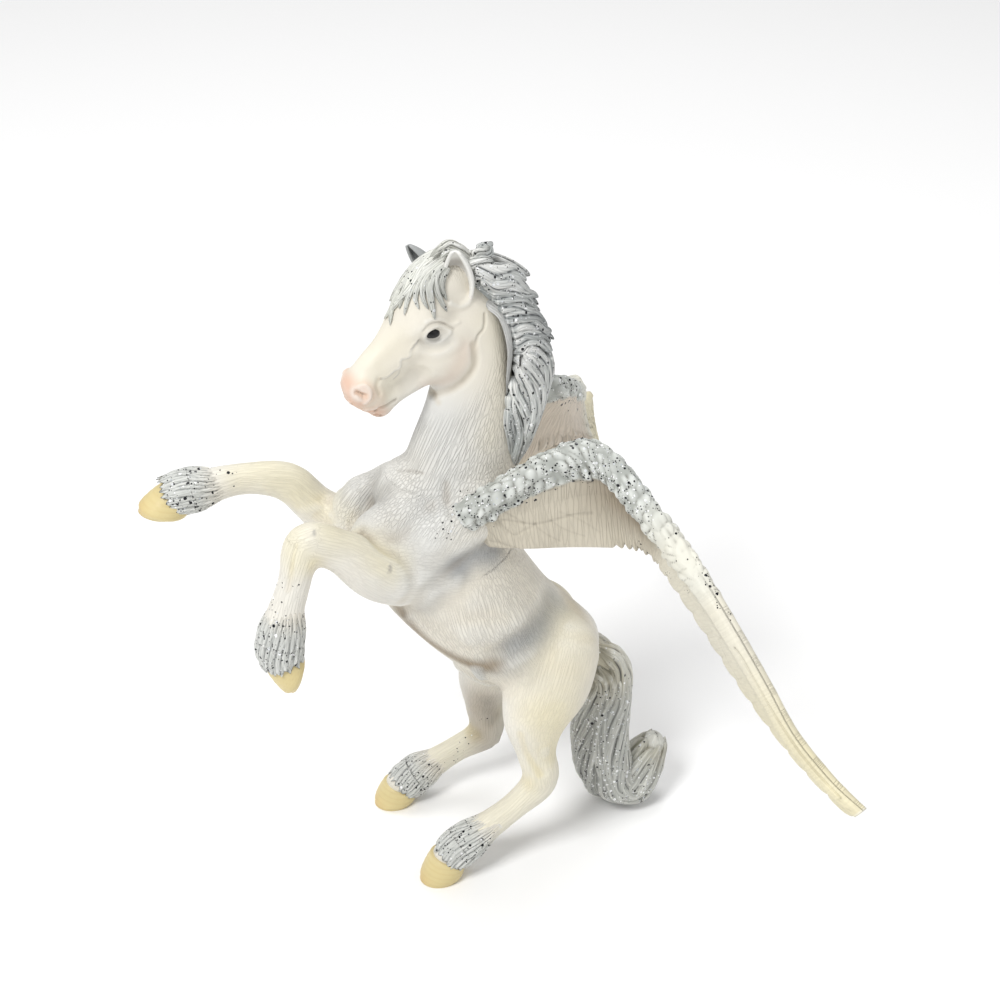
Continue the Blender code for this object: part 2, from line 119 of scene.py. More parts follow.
# Lights and floor; each lamp has its name, place in metres, size and power
studio = {"world": (1.0, 1.0, 1.0), "worldStrength": 0.46, "toning": "Standard",
          "floor": (0.97, 0.97, 0.97), "floorReach": 3.0, "floorRoughness": 0.9, "lampAim": (0, 0, 0.08),
          "lamps": (("key", (-0.55, -0.45, 0.95), 0.40, 8.6),
                    ("fill", (0.75, -0.45, 0.45), 0.7, 1.0),
                    ("top", (0.10, 0.35, 0.95), 0.6, 3.0))}


def makeStudio():
    world = bpy.data.worlds.new("studio")
    bpy.context.scene.world = world
    world.use_nodes = True
    sky = world.node_tree.nodes["Background"]
    sky.inputs["Color"].default_value = (*studio["world"], 1.0)
    sky.inputs["Strength"].default_value = studio["worldStrength"]
    bpy.context.scene.view_settings.view_transform = studio["toning"]
    for name, place, size, power in studio["lamps"]:
        lamp = bpy.data.lights.new(name, "AREA")
        lamp.shape = "DISK"
        lamp.size = size
        lamp.energy = power
        holder = placed(name, lamp)
        holder.location = place
        aim(holder, np.subtract(studio["lampAim"], place))
    mesh, far = bpy.data.meshes.new("studio_floor"), studio["floorReach"]
    mesh.from_pydata([(-far, -far, 0), (far, -far, 0), (far, far, 0), (-far, far, 0)], [], [(0, 1, 2, 3)])
    floor = placed("studio_floor", mesh)
    paper = bpy.data.materials.new("studio_paper")
    paper.use_nodes = True
    shader = paper.node_tree.nodes["Principled BSDF"]
    shader.inputs["Base Color"].default_value = (*studio["floor"], 1.0)
    shader.inputs["Roughness"].default_value = studio["floorRoughness"]
    shader.inputs["Specular IOR Level"].default_value = 0.0
    mesh.materials.append(paper)


makeStudio()
print("studio lit")


def smoothLine(stations, perSpan):
    # Catmull-Rom curve through the stations: every column is blended by the same cubic weights
    knots = np.asarray(stations, float)
    padded = np.vstack([2 * knots[0] - knots[1], knots, 2 * knots[-1] - knots[-2]])
    t = (np.arange(perSpan) / perSpan)[None, :, None]
    a, b, c, d = (padded[i:len(padded) - 3 + i, None, :] for i in range(4))
    spans = 0.5 * (2 * b + (c - a) * t + (2 * a - 5 * b + 4 * c - d) * t ** 2
                   + (3 * b - a - 3 * c + d) * t ** 3)
    return np.vstack([spans.reshape(-1, knots.shape[1]), knots[-1:]])


def resample(path, count):
    # the same path with its points at equal steps of its length
    path = np.asarray(path, float)
    run = np.concatenate([[0], np.cumsum(np.linalg.norm(np.diff(path[:, :3], axis=0), axis=1))])
    at = np.linspace(0, run[-1], count)
    return np.column_stack([np.interp(at, run, path[:, k]) for k in range(path.shape[1])])


def tubeRings(centre, deep, wide, side, around=32, caps=3):
    # ellipse round each point of the centre line: across * wide * cos + up * deep * sin, with rounded ends
    tangent = unit(np.gradient(centre, axis=0))
    side = np.broadcast_to(np.asarray(side, float), centre.shape)
    across = unit(side - np.sum(side * tangent, axis=1, keepdims=True) * tangent)
    upward = np.cross(tangent, across)
    angle = np.radians(np.linspace(80, 20, caps))
    size = (deep + wide) / 2
    first, last = np.sin(angle) * size[0], np.sin(angle[::-1]) * size[-1]
    before, after = centre[0] - tangent[0] * first[:, None], centre[-1] + tangent[-1] * last[:, None]
    line = np.vstack([before, centre, after])
    pick = np.concatenate([np.zeros(caps, int), np.arange(len(centre)), np.full(caps, len(centre) - 1)])
    shrink = np.concatenate([np.cos(angle), np.ones(len(centre)), np.cos(angle[::-1])])
    turn = np.linspace(0, 2 * np.pi, around, endpoint=False)
    ring = (across[pick][:, None, :] * (wide[pick] * shrink)[:, None, None] * np.cos(turn)[None, :, None]
            + upward[pick][:, None, :] * (deep[pick] * shrink)[:, None, None] * np.sin(turn)[None, :, None])
    return line[:, None, :] + ring


def form(stations, side=(0.0, 1.0, 0.0), perSpan=7, around=32):
    # rounded form along stations of (x, y, z, half depth, half width)
    line = smoothLine(stations, perSpan)
    return tubeRings(line[:, :3], np.maximum(line[:, 3], 0.05), np.maximum(line[:, 4], 0.05), side, around)


def egg(middle, axes, radii, rows=15, around=24):
    # ellipsoid: middle + the three axes by radii times (cos t, sin t cos p, sin t sin p)
    t = np.linspace(0.06, np.pi - 0.06, rows)[:, None, None]
    p = np.linspace(0, 2 * np.pi, around, endpoint=False)[None, :, None]
    first, second, third = (np.asarray(v, float) for v in axes)
    return (np.asarray(middle, float) + first * radii[0] * np.cos(t)
            + second * radii[1] * np.sin(t) * np.cos(p) + third * radii[2] * np.sin(t) * np.sin(p))


def closeGrid(rings, shift=0):
    # quads between neighbouring rings and a fan at each end
    count, around = rings.shape[:2]
    index = np.arange(count * around).reshape(count, around) + shift
    ahead = np.roll(index, -1, axis=1)
    quads = np.stack([index[:-1], ahead[:-1], ahead[1:], index[1:]], axis=-1).reshape(-1, 4)
    first, last = shift + count * around, shift + count * around + 1
    fans = np.concatenate([np.stack([np.full(around, first), ahead[0], index[0]], axis=-1),
                           np.stack([np.full(around, last), index[-1], ahead[-1]], axis=-1)])
    points = np.concatenate([rings.reshape(-1, 3), rings[:1].mean(axis=1), rings[-1:].mean(axis=1)])
    return points, quads, fans


def gridMesh(name, grids):
    # one mesh of several closed grids; also gives each grid's first point
    allPoints, allFaces, starts, shift = [], [], [], 0
    for rings in grids:
        points, quads, fans = closeGrid(rings, shift)
        # six times the volume held by the triangles; negative where they face inwards
        first, second, third = points[np.concatenate([quads[:, :3], quads[:, [0, 2, 3]], fans]).T - shift]
        if np.sum(np.cross(first, second) * third) < 0:
            quads, fans = quads[:, ::-1], fans[:, ::-1]
        allPoints.append(points)
        allFaces += quads.tolist() + fans.tolist()
        starts.append(shift)
        shift += len(points)
    mesh = bpy.data.meshes.new(name)
    mesh.from_pydata(toScene(np.concatenate(allPoints)).tolist(), [], allFaces)
    mesh.polygons.foreach_set("use_smooth", np.ones(len(mesh.polygons), bool))
    return mesh, starts


def readAll(items, field, width, kind):
    # one row of numbers for each item of a mesh
    values = np.empty(len(items) * width, kind)
    items.foreach_get(field, values)
    return values.reshape(-1, width)


def readPoints(mesh):
    return readAll(mesh.vertices, "co", 3, float) / millimetre - sculptShift


def readNormals(mesh):
    return readAll(mesh.vertex_normals, "vector", 3, np.float32).astype(float)


def readEdges(mesh):
    return readAll(mesh.edges, "vertices", 2, np.int32)


def writePoints(mesh, points):
    mesh.vertices.foreach_set("co", toScene(points).astype(np.float32).ravel())
    mesh.update()


def neighbourMean(edges, values, count):
    # average of each point's neighbours along its edges
    total = np.zeros((count, values.shape[1]))
    number = np.bincount(edges.ravel(), minlength=count)[:, None]
    for k in range(values.shape[1]):
        total[:, k] = (np.bincount(edges[:, 0], values[edges[:, 1], k], count)
                       + np.bincount(edges[:, 1], values[edges[:, 0], k], count))
    return total / np.maximum(number, 1)


def hollows(mesh, passes=2):
    # positive in grooves, negative on ridges: the neighbours' mean seen along the normal
    points, normals, edges = readPoints(mesh), readNormals(mesh), readEdges(mesh)
    step = np.linalg.norm(points[edges[:, 0]] - points[edges[:, 1]], axis=1).mean()
    dip = neighbourMean(edges, points, len(points)) - points
    depth = np.sum(dip * normals, axis=1, keepdims=True) / step
    for _ in range(passes):
        depth = (depth + neighbourMean(edges, depth, len(points))) / 2
    return depth[:, 0]


def fuse(name, grids, coarse, passes, fine, polish):
    # melts overlapping forms into one skin: voxels of the coarse size, smoothing, then finer voxels
    mesh, _ = gridMesh(name, grids)
    rough = placed(name, mesh)
    for size, rounds in ((coarse, passes), (fine, polish)):
        melt = rough.modifiers.new("melt", "REMESH")
        melt.mode = "VOXEL"
        melt.voxel_size = size * millimetre
        soften = rough.modifiers.new("soften", "SMOOTH")
        soften.factor = 0.5
        soften.iterations = rounds
    graph = bpy.context.evaluated_depsgraph_get()
    skin = bpy.data.meshes.new_from_object(rough.evaluated_get(graph))
    bpy.data.objects.remove(rough, do_unlink=True)
    skin.name = name
    skin.polygons.foreach_set("use_smooth", np.ones(len(skin.polygons), bool))
    return skin


def pathDistance(points, path):
    # nearest distance to the path's points or to the straight steps between them
    path = np.atleast_2d(path)
    if len(path) == 1:
        return np.linalg.norm(points - path[0], axis=1)
    best = np.full(len(points), 1e9)
    for p, q in zip(path[:-1], path[1:]):
        step = q - p
        length = max(np.linalg.norm(step), 1e-9)
        t = np.clip((points - p) @ step / length ** 2, 0, 1)
        best = np.minimum(best, np.linalg.norm(points - p - t[:, None] * step, axis=1))
    return best


def lumps(u, v, seed, jitter=0.8):
    # cells on a jittered grid: distance to the nearest seed point, and that cell's own random number
    cellU, cellV = np.floor(u), np.floor(v)
    near, pick = np.full(u.shape, 9.0), np.zeros(u.shape)
    for du in (-1, 0, 1):
        for dv in (-1, 0, 1):
            cu, cv = cellU + du, cellV + dv
            h1 = np.abs(np.sin(cu * 127.1 + cv * 311.7 + seed) * 43758.5453) % 1
            h2 = np.abs(np.sin(cu * 269.5 + cv * 183.3 + seed * 1.7) * 24634.6345) % 1
            gap = np.hypot(cu + 0.5 + (h1 - 0.5) * jitter - u, cv + 0.5 + (h2 - 0.5) * jitter - v)
            pick = np.where(gap < near, h1, pick)
            near = np.minimum(near, gap)
    return near, pick


# Paint and glitter: one recipe, set for each finish
paintLook = {"roughness": 0.5, "specular": 0.35, "tone": 0.86, "reliefDepth": 0.10, "strokeShade": 0.14,
             "mottle": 0.06, "mottleScale": 160.0, "grain": 0.12, "grainScale": 2600.0,
             "strokeWidth": 0.60, "strokeLength": 11.0, "strokeEdge": 6.5,
             # glitter flakes: (cell size, share of the cell they fill)
             "flakes": ((0.95, 0.34), (0.46, 0.36)), "flakeEdge": (0.75, 0.45), "flakeHeight": 0.5,
             # how the flakes gather: noise scale, its gain and shift, and the least that is left
             "clump": (330.0, 3.2, -0.9, 0.05), "flakeGloss": -0.25,
             "silver": ((0.42, 0.46, 0.50, 1.0), (1.0, 1.0, 1.0, 1.0)), "fleck": (0.014, 0.014, 0.017, 1.0)}


def paintedFinish(name, roughness=paintLook["roughness"], strokes=False, glitter=True, barbs=False):
    look = paintLook
    finish = bpy.data.materials.new(name)
    finish.use_nodes = True
    nodes, links = finish.node_tree.nodes, finish.node_tree.links

    def plug(node, sockets):
        # sets each socket to its value, or links it where the value is another node's output
        for key, value in sockets.items():
            if isinstance(value, bpy.types.NodeSocket):
                links.new(value, node.inputs[key])
            else:
                node.inputs[key].default_value = value

    def made(kind, sockets=(), **settings):
        # outputs of a new node with these settings and sockets
        node = nodes.new("ShaderNode" + kind)
        for key, value in settings.items():
            setattr(node, key, value)
        plug(node, dict(sockets))
        return node.outputs

    def maths(operation, *values):
        return made("Math", enumerate(values), operation=operation)[0]

    def mixed(share, first, second):
        return made("Mix", {0: share, 6: first, 7: second}, data_type="RGBA")[2]

    def noted(attribute, output):
        return made("Attribute", attribute_name=attribute)[output]

    def noise(vector, scale, detail):
        return made("TexNoise", {"Vector": vector, "Scale": scale, "Detail": detail})["Fac"]

    def parted(vector):
        return made("SeparateXYZ", {0: vector})

    def engraved(flow):
        # thin lines between long narrow cells
        flowing = {"Scale": 1.0, "Vector": noted(flow, "Vector")}
        cells = made("TexVoronoi", flowing, feature="DISTANCE_TO_EDGE")
        gap = maths("MULTIPLY", cells["Distance"], look["strokeEdge"])
        return maths("MAXIMUM", maths("SUBTRACT", 1.0, gap), 0.0)

    place = made("TexCoord")["Object"]
    cloud = noise(place, look["mottleScale"], 4.0)
    shade = maths("MULTIPLY_ADD", cloud, look["mottle"] * 2, look["tone"] - look["mottle"])
    height = maths("MULTIPLY", noise(place, look["grainScale"], 2.0), look["grain"])
    lines = engraved("barbs") if barbs else None
    if strokes:
        shares = parted(noted("strokeMix", "Vector"))
        for flow, share in (("flowBody", 0), ("flowFore", 1), ("flowHind", 2)):
            part = maths("MULTIPLY", engraved(flow), shares[share])
            lines = part if lines is None else maths("ADD", lines, part)
    if lines is not None:
        lines = maths("MULTIPLY", lines, noted("strokeDepth", "Fac"))
        height = maths("SUBTRACT", height, lines)
        darker = maths("MULTIPLY", lines, look["strokeShade"])
        shade = maths("MULTIPLY", shade, maths("SUBTRACT", 1.0, darker))
    colour = made("VectorMath", {0: noted("paint", "Color"), "Scale": shade}, operation="SCALE")[0]
    gloss = roughness
    if glitter:
        density = parted(noted("glitter", "Vector"))
        scale, gain, shift, least = look["clump"]
        clump = maths("MAXIMUM", maths("MULTIPLY_ADD", noise(place, scale, 1.0), gain, shift), least)
        grow, rest = look["flakeEdge"]
        spots = None
        for size, fill in look["flakes"]:
            cells = made("TexVoronoi", {"Scale": 1.0 / (size * millimetre), "Vector": place})
            dice = made("SeparateColor", {0: cells["Color"]})
            edge = maths("MULTIPLY_ADD", dice[2], fill * grow, fill * rest)
            speck = maths("LESS_THAN", cells["Distance"], edge)
            dark = maths("LESS_THAN", dice[0], maths("MULTIPLY", density[0], clump))
            bright = maths("LESS_THAN", dice[1], maths("MULTIPLY", density[1], clump))
            dark = maths("MULTIPLY", speck, dark)
            bright = maths("MULTIPLY", speck, maths("MULTIPLY", bright, maths("SUBTRACT", 1.0, dark)))
            colour = mixed(bright, colour, mixed(dice[2], *look["silver"]))
            colour = mixed(dark, colour, look["fleck"])
            both = maths("ADD", dark, bright)
            spots = both if spots is None else maths("MAXIMUM", spots, both)
        gloss = maths("MULTIPLY_ADD", spots, look["flakeGloss"], roughness)
        height = maths("ADD", height, maths("MULTIPLY", spots, look["flakeHeight"]))
    relief = made("Bump", {"Distance": look["reliefDepth"] * millimetre, "Height": height})["Normal"]
    plug(nodes["Principled BSDF"], {"Base Color": colour, "Roughness": gloss, "Normal": relief,
                                    "Specular IOR Level": look["specular"]})
    return finish


def note(mesh, name, values, colour=False):
    # stores one value for each point: a colour, a vector or a number
    values = np.asarray(values, np.float32)
    kind, field = ("FLOAT_VECTOR", "vector") if values.ndim == 2 else ("FLOAT", "value")
    if colour:
        values = np.column_stack([np.clip(values, 0, 1), np.ones(len(values))]).astype(np.float32)
        kind, field = "FLOAT_COLOR", "color"
    layer = mesh.attributes.new(name, kind, "POINT")
    layer.data.foreach_set(field, values.ravel())


def addPiece(name, mesh, finish):
    piece = placed(name, mesh)
    mesh.materials.append(finish)
    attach(piece, "root")
    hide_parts("pegasus")
    print(name, "has", len(mesh.polygons), "faces")


# Stations of the body: (x, y, z, half depth, half width), and of the legs: (x, z, half depth, half width)
bodyForms = {
    # coarse voxel, its smoothing rounds, fine voxel, its smoothing rounds
    "voxels": (0.9, 9, 0.57, 2),
    "trunk": ((25.0, 0, 41.5, 8.5, 10.0), (20.0, 0, 50.5, 11.8, 13.8), (11.5, 0, 59.3, 13.6, 15.0),
              (4.0, 0, 69.2, 14.8, 15.4), (-2.0, 0, 79.5, 15.4, 14.6), (-4.5, 0, 88.0, 13.6, 12.6),
              (-5.5, 0, 93.5, 9.5, 9.0)),
    "neck": ((1.0, 0, 88.0, 14.5, 12.4), (3.2, 0, 96.0, 13.2, 10.8), (4.2, 0, 104.0, 11.2, 8.6),
             (5.5, 0, 114.0, 9.0, 6.6), (6.2, 0, 124.0, 8.0, 5.8), (4.5, 0, 133.0, 7.5, 5.6),
             (1.5, 0, 139.0, 6.0, 5.0)),
    "shoulder": ((6.0, -9.5, 96.5, 5.0, 3.0), (0.0, -11.0, 90.0, 7.5, 3.6), (-7.0, -10.5, 86.0, 7.2, 4.6),
                 (-12.0, -10.0, 86.5, 5.0, 4.2)),
    "breast": ((-5.0, -4.5, 94.5, 5.5, 5.0), (-11.5, -5.5, 91.5, 5.6, 5.0), (-16.5, -7.0, 89.5, 5.4, 4.6),
               (-18.5, -8.5, 85.0, 4.5, 4.2)),
    "croup": ((16.0, 0, 60.0, 7.6, 8.5), (21.5, 0, 55.5, 8.2, 9.2), (27.0, 0, 50.5, 7.6, 8.5)),
    "sheath": ((4.0, 0, 49.0, 3.2, 3.2), (7.0, -0.5, 45.5, 2.8, 2.9), (9.5, -0.6, 42.6, 1.9, 2.3)),
    "spread": {"hind": (8.0, 10.5, 12.5, 13.5, 14.0, 14.0, 14.0, 14.0),
               "fore": (8.0, 12.2, 13.5, 14.0, 14.0, 14.0, 14.0)},
    "nearHind": ((22.5, 53.5, 10.0, 8.0), (19.5, 46.5, 10.0, 8.0), (16.5, 39.0, 7.5, 6.2),
                 (16.4, 31.0, 4.6, 4.0), (17.2, 22.8, 4.2, 3.6), (10.5, 16.0, 3.3, 2.9),
                 (0.5, 9.2, 4.0, 3.7), (-4.2, 5.8, 3.8, 3.8)),
    "farHind": ((22.5, 52.0, 10.0, 8.0), (18.0, 44.0, 10.0, 8.0), (13.0, 34.0, 7.5, 6.2),
                (12.0, 25.0, 4.6, 4.0), (12.5, 16.0, 4.2, 3.6), (5.0, 12.0, 3.3, 2.9),
                (-4.0, 7.2, 4.0, 3.7), (-8.5, 4.6, 3.8, 3.8)),
    "nearFore": ((-4.0, 80.0, 8.8, 8.0), (-16.5, 84.2, 6.6, 5.8), (-25.0, 91.7, 4.6, 4.3),
                 (-32.0, 95.0, 4.3, 3.9), (-34.8, 86.0, 3.5, 3.1), (-38.0, 75.5, 4.2, 3.9),
                 (-38.5, 68.5, 4.2, 4.0)),
    "farFore": ((-8.0, 80.0, 8.8, 8.0), (-18.0, 80.5, 6.4, 5.8), (-24.5, 85.5, 4.6, 4.3),
                (-30.5, 92.5, 4.3, 3.9), (-40.0, 94.8, 3.5, 3.1), (-49.0, 93.8, 4.2, 3.9),
                (-53.5, 93.2, 4.2, 4.0)),
    "hockPoint": ((14.5, -14.0, 27.0, 1.6, 1.3), (19.6, -14.0, 22.0, 1.6, 1.3),
                  (18.0, -14.0, 18.0, 1.4, 1.2)),
}

headForm = {
    "poll": (2.3, 0.0, 144.0), "turn": 12.0, "drop": 40.0, "middle": (16.0, -5.0, 0.0), "reach": 21.0,
    # stations along the nose: (forward, up, half depth, half width)
    "skull": ((1.0, -0.6, 5.4, 4.6), (5.0, -0.3, 6.0, 5.4), (10.0, -1.2, 6.0, 5.9), (15.0, -2.5, 5.5, 5.2),
              (20.0, -3.0, 4.8, 4.1), (25.0, -2.8, 4.5, 3.6), (29.4, -3.3, 4.0, 3.5)),
    "jaw": ((12.5, -14.2, 3.6, 3.4), (20.0, -11.3, 2.9, 2.9), (26.0, -9.5, 2.6, 2.7),
            (29.5, -9.2, 2.5, 2.8)),
    # rounded masses: (forward, up, aside, radius forward, radius up, radius aside)
    "cheek": (11.2, -10.2, 2.2, 8.1, 8.3, 4.7),
    "muzzle": (29.0, -4.6, 0.0, 3.9, 5.2, 4.3),
    "nostril": (29.4, -2.2, 2.7, 2.8, 2.8, 2.1),
    "chin": (29.2, -9.9, 0.0, 3.0, 2.2, 2.7),
    "brow": (11.0, -0.3, 4.7, 4.4, 2.0, 1.7),
}
turn, drop = np.radians(headForm["turn"]), np.radians(headForm["drop"])
level = np.array((-np.cos(turn), -np.sin(turn), 0.0))
noseWay = level * np.cos(drop) - np.array((0, 0, 1.0)) * np.sin(drop)
browWay = level * np.sin(drop) + np.array((0, 0, 1.0)) * np.cos(drop)
asideWay = np.cross(noseWay, browWay)


def onHead(rows):
    # (forward, up, aside) from the poll, in the head's own directions
    rows = np.atleast_2d(np.asarray(rows, float))
    forward, up, aside = rows[:, :1], rows[:, 1:2], rows[:, 2:3]
    return np.array(headForm["poll"]) + forward * noseWay + up * browWay + aside * asideWay


def headGrids():
    grids = []
    for key in ("skull", "jaw"):
        rows = np.array(headForm[key])
        places = onHead(np.column_stack([rows[:, :2], np.zeros(len(rows))]))
        grids.append(form(np.column_stack([places, rows[:, 2:]]), side=asideWay))
    axes = (noseWay, browWay, asideWay)
    for key in ("cheek", "muzzle", "nostril", "chin", "brow"):
        forward, up, aside, *radii = headForm[key]
        for sign in ((-1, 1) if aside else (1,)):
            grids.append(egg(onHead((forward, up, aside * sign))[0], axes, radii))
    return grids


def legStations(key, limb, sign):
    rows = np.array(bodyForms[key])
    return np.column_stack([rows[:, 0], sign * np.array(bodyForms["spread"][limb]), rows[:, 1:]])


def bodyGrids():
    grids = [form(bodyForms[key]) for key in ("trunk", "neck", "croup", "sheath")]
    mirror = np.array((1, -1, 1, 1, 1))
    for key in ("shoulder", "breast"):
        grids += [form(bodyForms[key]), form(np.array(bodyForms[key]) * mirror)]
    for key, limb, sign in (("nearHind", "hind", -1), ("farHind", "hind", 1),
                            ("nearFore", "fore", -1), ("farFore", "fore", 1)):
        grids.append(form(legStations(key, limb, sign)))
    hock = np.array(bodyForms["hockPoint"])
    across = legStations("farHind", "hind", 1)[4, :3] - legStations("nearHind", "hind", -1)[4, :3]
    grids += [form(hock), form(hock + np.concatenate([across, (0, 0)]))]
    return grids + headGrids()


def refine(mesh, inside, passes):
    # splits the faces whose points are inside, and rounds the new points
    work = bmesh.new()
    work.from_mesh(mesh)
    work.verts.ensure_lookup_table()
    edges = [edge for edge in work.edges if inside[edge.verts[0].index] and inside[edge.verts[1].index]]
    bmesh.ops.subdivide_edges(work, edges=edges, cuts=1, use_grid_fill=True)
    work.to_mesh(mesh)
    work.free()
    points = readPoints(mesh)
    edges = readEdges(mesh)
    near = np.zeros(len(points), bool)
    near[len(inside):] = True
    for _ in range(passes):
        moved = (points + neighbourMean(edges, points, len(points))) / 2
        points = np.where(near[:, None], moved, points)
    writePoints(mesh, points)


print("melting the body")
skin = fuse("body", bodyGrids(), *bodyForms["voxels"])
headSpot = onHead(headForm["middle"])[0]
refine(skin, np.linalg.norm(readPoints(skin) - headSpot, axis=1) < headForm["reach"], 3)
print("body skin has", len(skin.vertices), "points")


class Skin:
    # the sculptor's hold on one mesh: its points, normals, paint, glitter (dark, bright) and strokes
    def __init__(self, mesh, colour, starts=(0,)):
        self.mesh = mesh
        self.points = readPoints(mesh)
        self.normals = readNormals(mesh)
        self.paint = np.tile(np.asarray(colour, float), (len(self.points), 1))
        self.glitter = np.zeros((len(self.points), 3))
        self.strokes = np.zeros(len(self.points))
        self.starts = [*starts, len(self.points)]
        self.tree = None

    def growTree(self):
        faces = [tuple(face.vertices) for face in self.mesh.polygons]
        self.tree = BVHTree.FromPolygons([tuple(p) for p in self.points], faces)

    def trace(self, pixels, lift=0.0):
        # where the photograph's pixels fall on this skin; a miss takes the skin nearest to its ray
        path = []
        for ray in photoRays(pixels):
            hit, normal, _, _ = self.tree.ray_cast(Vector(viewEye), Vector(unit(ray)))
            if hit is None:
                middle = viewEye + ray * (-viewEye[1] / ray[1])
                hit, normal, _, _ = self.tree.find_nearest(Vector(middle))
            path.append(tuple(hit + normal * lift))
        return np.array(path)

    def part(self, k):
        # 1 on the points of the mesh's k-th grid, 0 on the others
        own = np.zeros(len(self.points))
        own[self.starts[k]:self.starts[k + 1]] = 1.0
        return own

    def reach(self, path, radius):
        # 1 on the path, fading to 0 at the radius
        low, high = path.min(axis=0) - radius, path.max(axis=0) + radius
        near = np.all((self.points > low) & (self.points < high), axis=1)
        fade = np.zeros(len(self.points))
        fade[near] = 1 - ramp(pathDistance(self.points[near], path), 0, radius)
        return fade

    def swell(self, path, radius, height):
        # pushes the skin out along its normals; a negative height presses a crease
        self.points = self.points + self.normals * (self.reach(path, radius) * height)[:, None]

    def blend(self, share, paint):
        share = np.asarray(share, float)[:, None]
        self.paint = self.paint * (1 - share) + np.asarray(paint) * share

    def colour(self, path, radius, paint, strength):
        self.blend(self.reach(path, radius) * strength, paint)

    def sprinkle(self, path, radius, dark, bright):
        share = self.reach(path, radius)
        self.glitter[:, 0] = np.maximum(self.glitter[:, 0], share * dark)
        self.glitter[:, 1] = np.maximum(self.glitter[:, 1], share * bright)

    def keep(self):
        writePoints(self.mesh, self.points)
        self.normals = readNormals(self.mesh)

    def store(self):
        self.keep()
        note(self.mesh, "paint", self.paint, colour=True)
        note(self.mesh, "glitter", self.glitter)
        note(self.mesh, "strokeDepth", self.strokes)


def broadHollows(mesh, passes):
    # like hollows, but against a skin smoothed many times over, so it finds the wide dips
    points, edges = readPoints(mesh), readEdges(mesh)
    smooth = points
    for _ in range(passes):
        smooth = (smooth + neighbourMean(edges, smooth, len(points))) / 2
    return np.sum((smooth - points) * readNormals(mesh), axis=1)


paints = {"coat": tint(240, 234, 220), "cool": tint(216, 218, 218), "blue": tint(146, 152, 160),
          "brown": tint(150, 130, 102), "cream": tint(238, 227, 186), "pink": tint(236, 196, 172),
          "line": tint(110, 102, 94), "silver": tint(158, 163, 166), "hoof": tint(228, 211, 156),
          "white": tint(250, 250, 246), "hair": tint(208, 212, 208), "shadow": tint(66, 70, 74),
          "beige": tint(204, 190, 164), "black": tint(12, 12, 14), "straw": tint(238, 230, 204),
          "hollow": tint(128, 116, 102), "peach": tint(232, 180, 150)}

# Lines of the photograph that are both pressed into the skin and painted, as pixels (x, y)
fineLines = {
    "seam": ((398, 470), (410, 471), (423, 473)),
    "earFold": ((485, 314), (484, 328), (478, 336), (476, 347)),
    "vein": ((419, 340), (411, 350), (409, 357), (401, 360),
             (400, 367), (394, 371), (387, 377), (380, 379)),
    "veinBranch": ((399, 367), (398, 374), (393, 379)),
    "lid": ((423, 331), (429, 325), (437, 322), (446, 324), (454, 329)),
    "noseFold": ((379, 379), (377, 387), (380, 394)),
    "nostril": ((356, 393), (360, 395), (364, 397)),
}

# Creases and swellings: (pixels seen in the photograph, radius, height, also on the far side)
bodyRelief = (
    (((372, 486), (371, 503), (366, 515), (361, 527)), 2.4, -0.14, True),
    (((361, 532), (378, 545), (398, 556), (412, 572), (414, 588), (402, 603)), 2.0, -0.5, True),
    (((397, 611), (422, 595), (446, 576), (470, 556), (485, 546)), 3.0, -0.7, True),
    (((500, 654), (512, 646), (531, 634), (546, 619), (552, 606)), 5.5, -1.0, True),
    (((446, 484), (447, 500), (452, 513)), 2.0, -0.5, True),
    (((400, 500), (412, 522), (430, 540)), 5.0, 0.5, True),
    (((476, 600), (500, 600), (512, 620), (480, 630)), 8.0, 0.8, True),
    (((440, 610), (452, 622), (470, 634)), 5.0, 0.5, True),
    (fineLines["seam"], 0.6, -0.22, False),
    (((448, 476), (478, 478), (509, 477)), 0.5, -0.18, False),
    (((306, 512), (318, 508), (330, 514)), 2.0, 0.35, True),
    (((296, 545), (292, 565), (288, 590)), 1.4, -0.35, True),
    (((520, 735), (527, 755), (540, 775)), 1.6, -0.35, True),
    (((556, 790), (548, 775), (545, 750)), 1.6, 0.35, True),
    (((477, 668), (481, 676)), 2.5, 0.9, False),
)
headRelief = (
    (((474, 345), (475, 364), (466, 379), (453, 389), (440, 393), (430, 393)), 1.5, -0.42, True),
    (fineLines["earFold"], 0.55, -0.30, True),
    (((470, 350), (468, 364), (458, 376), (446, 384)), 2.2, 0.12, True),
    (((425, 336), (427, 332), (431, 329), (437, 326), (443, 327), (450, 331)), 0.7, 0.34, True),
    (((425, 338), (428, 341), (433, 343), (439, 342), (445, 338), (450, 333)), 0.7, 0.28, True),
    (((426, 322), (434, 319), (444, 320), (452, 325), (459, 322)), 0.7, 0.22, True),
    (fineLines["lid"], 0.4, -0.16, True),
    (((420, 341), (429, 349), (440, 349), (450, 343)), 0.9, -0.25, True),
    (fineLines["vein"], 0.42, 0.20, True),
    (fineLines["veinBranch"], 0.42, 0.16, True),
    (((424, 372), (418, 380), (408, 388)), 2.4, -0.35, True),
    (((418, 352), (438, 353), (456, 344)), 2.4, 0.30, True),
    (((408, 344), (396, 352), (384, 364)), 2.6, -0.25, True),
    (fineLines["noseFold"], 1.0, -0.25, True),
    (((359, 387), (365, 386), (370, 391), (370, 398), (365, 403)), 0.8, 0.32, True),
    (fineLines["nostril"], 1.0, -1.3, True),
    (((350, 402), (356, 408), (366, 410), (376, 408)), 0.8, 0.25, True),
    (((396, 400), (386, 406), (376, 410), (366, 414), (356, 413)), 0.6, -0.42, True),
    (((471, 296), (467, 303), (459, 306), (450, 303)), 1.3, 0.45, True),
)

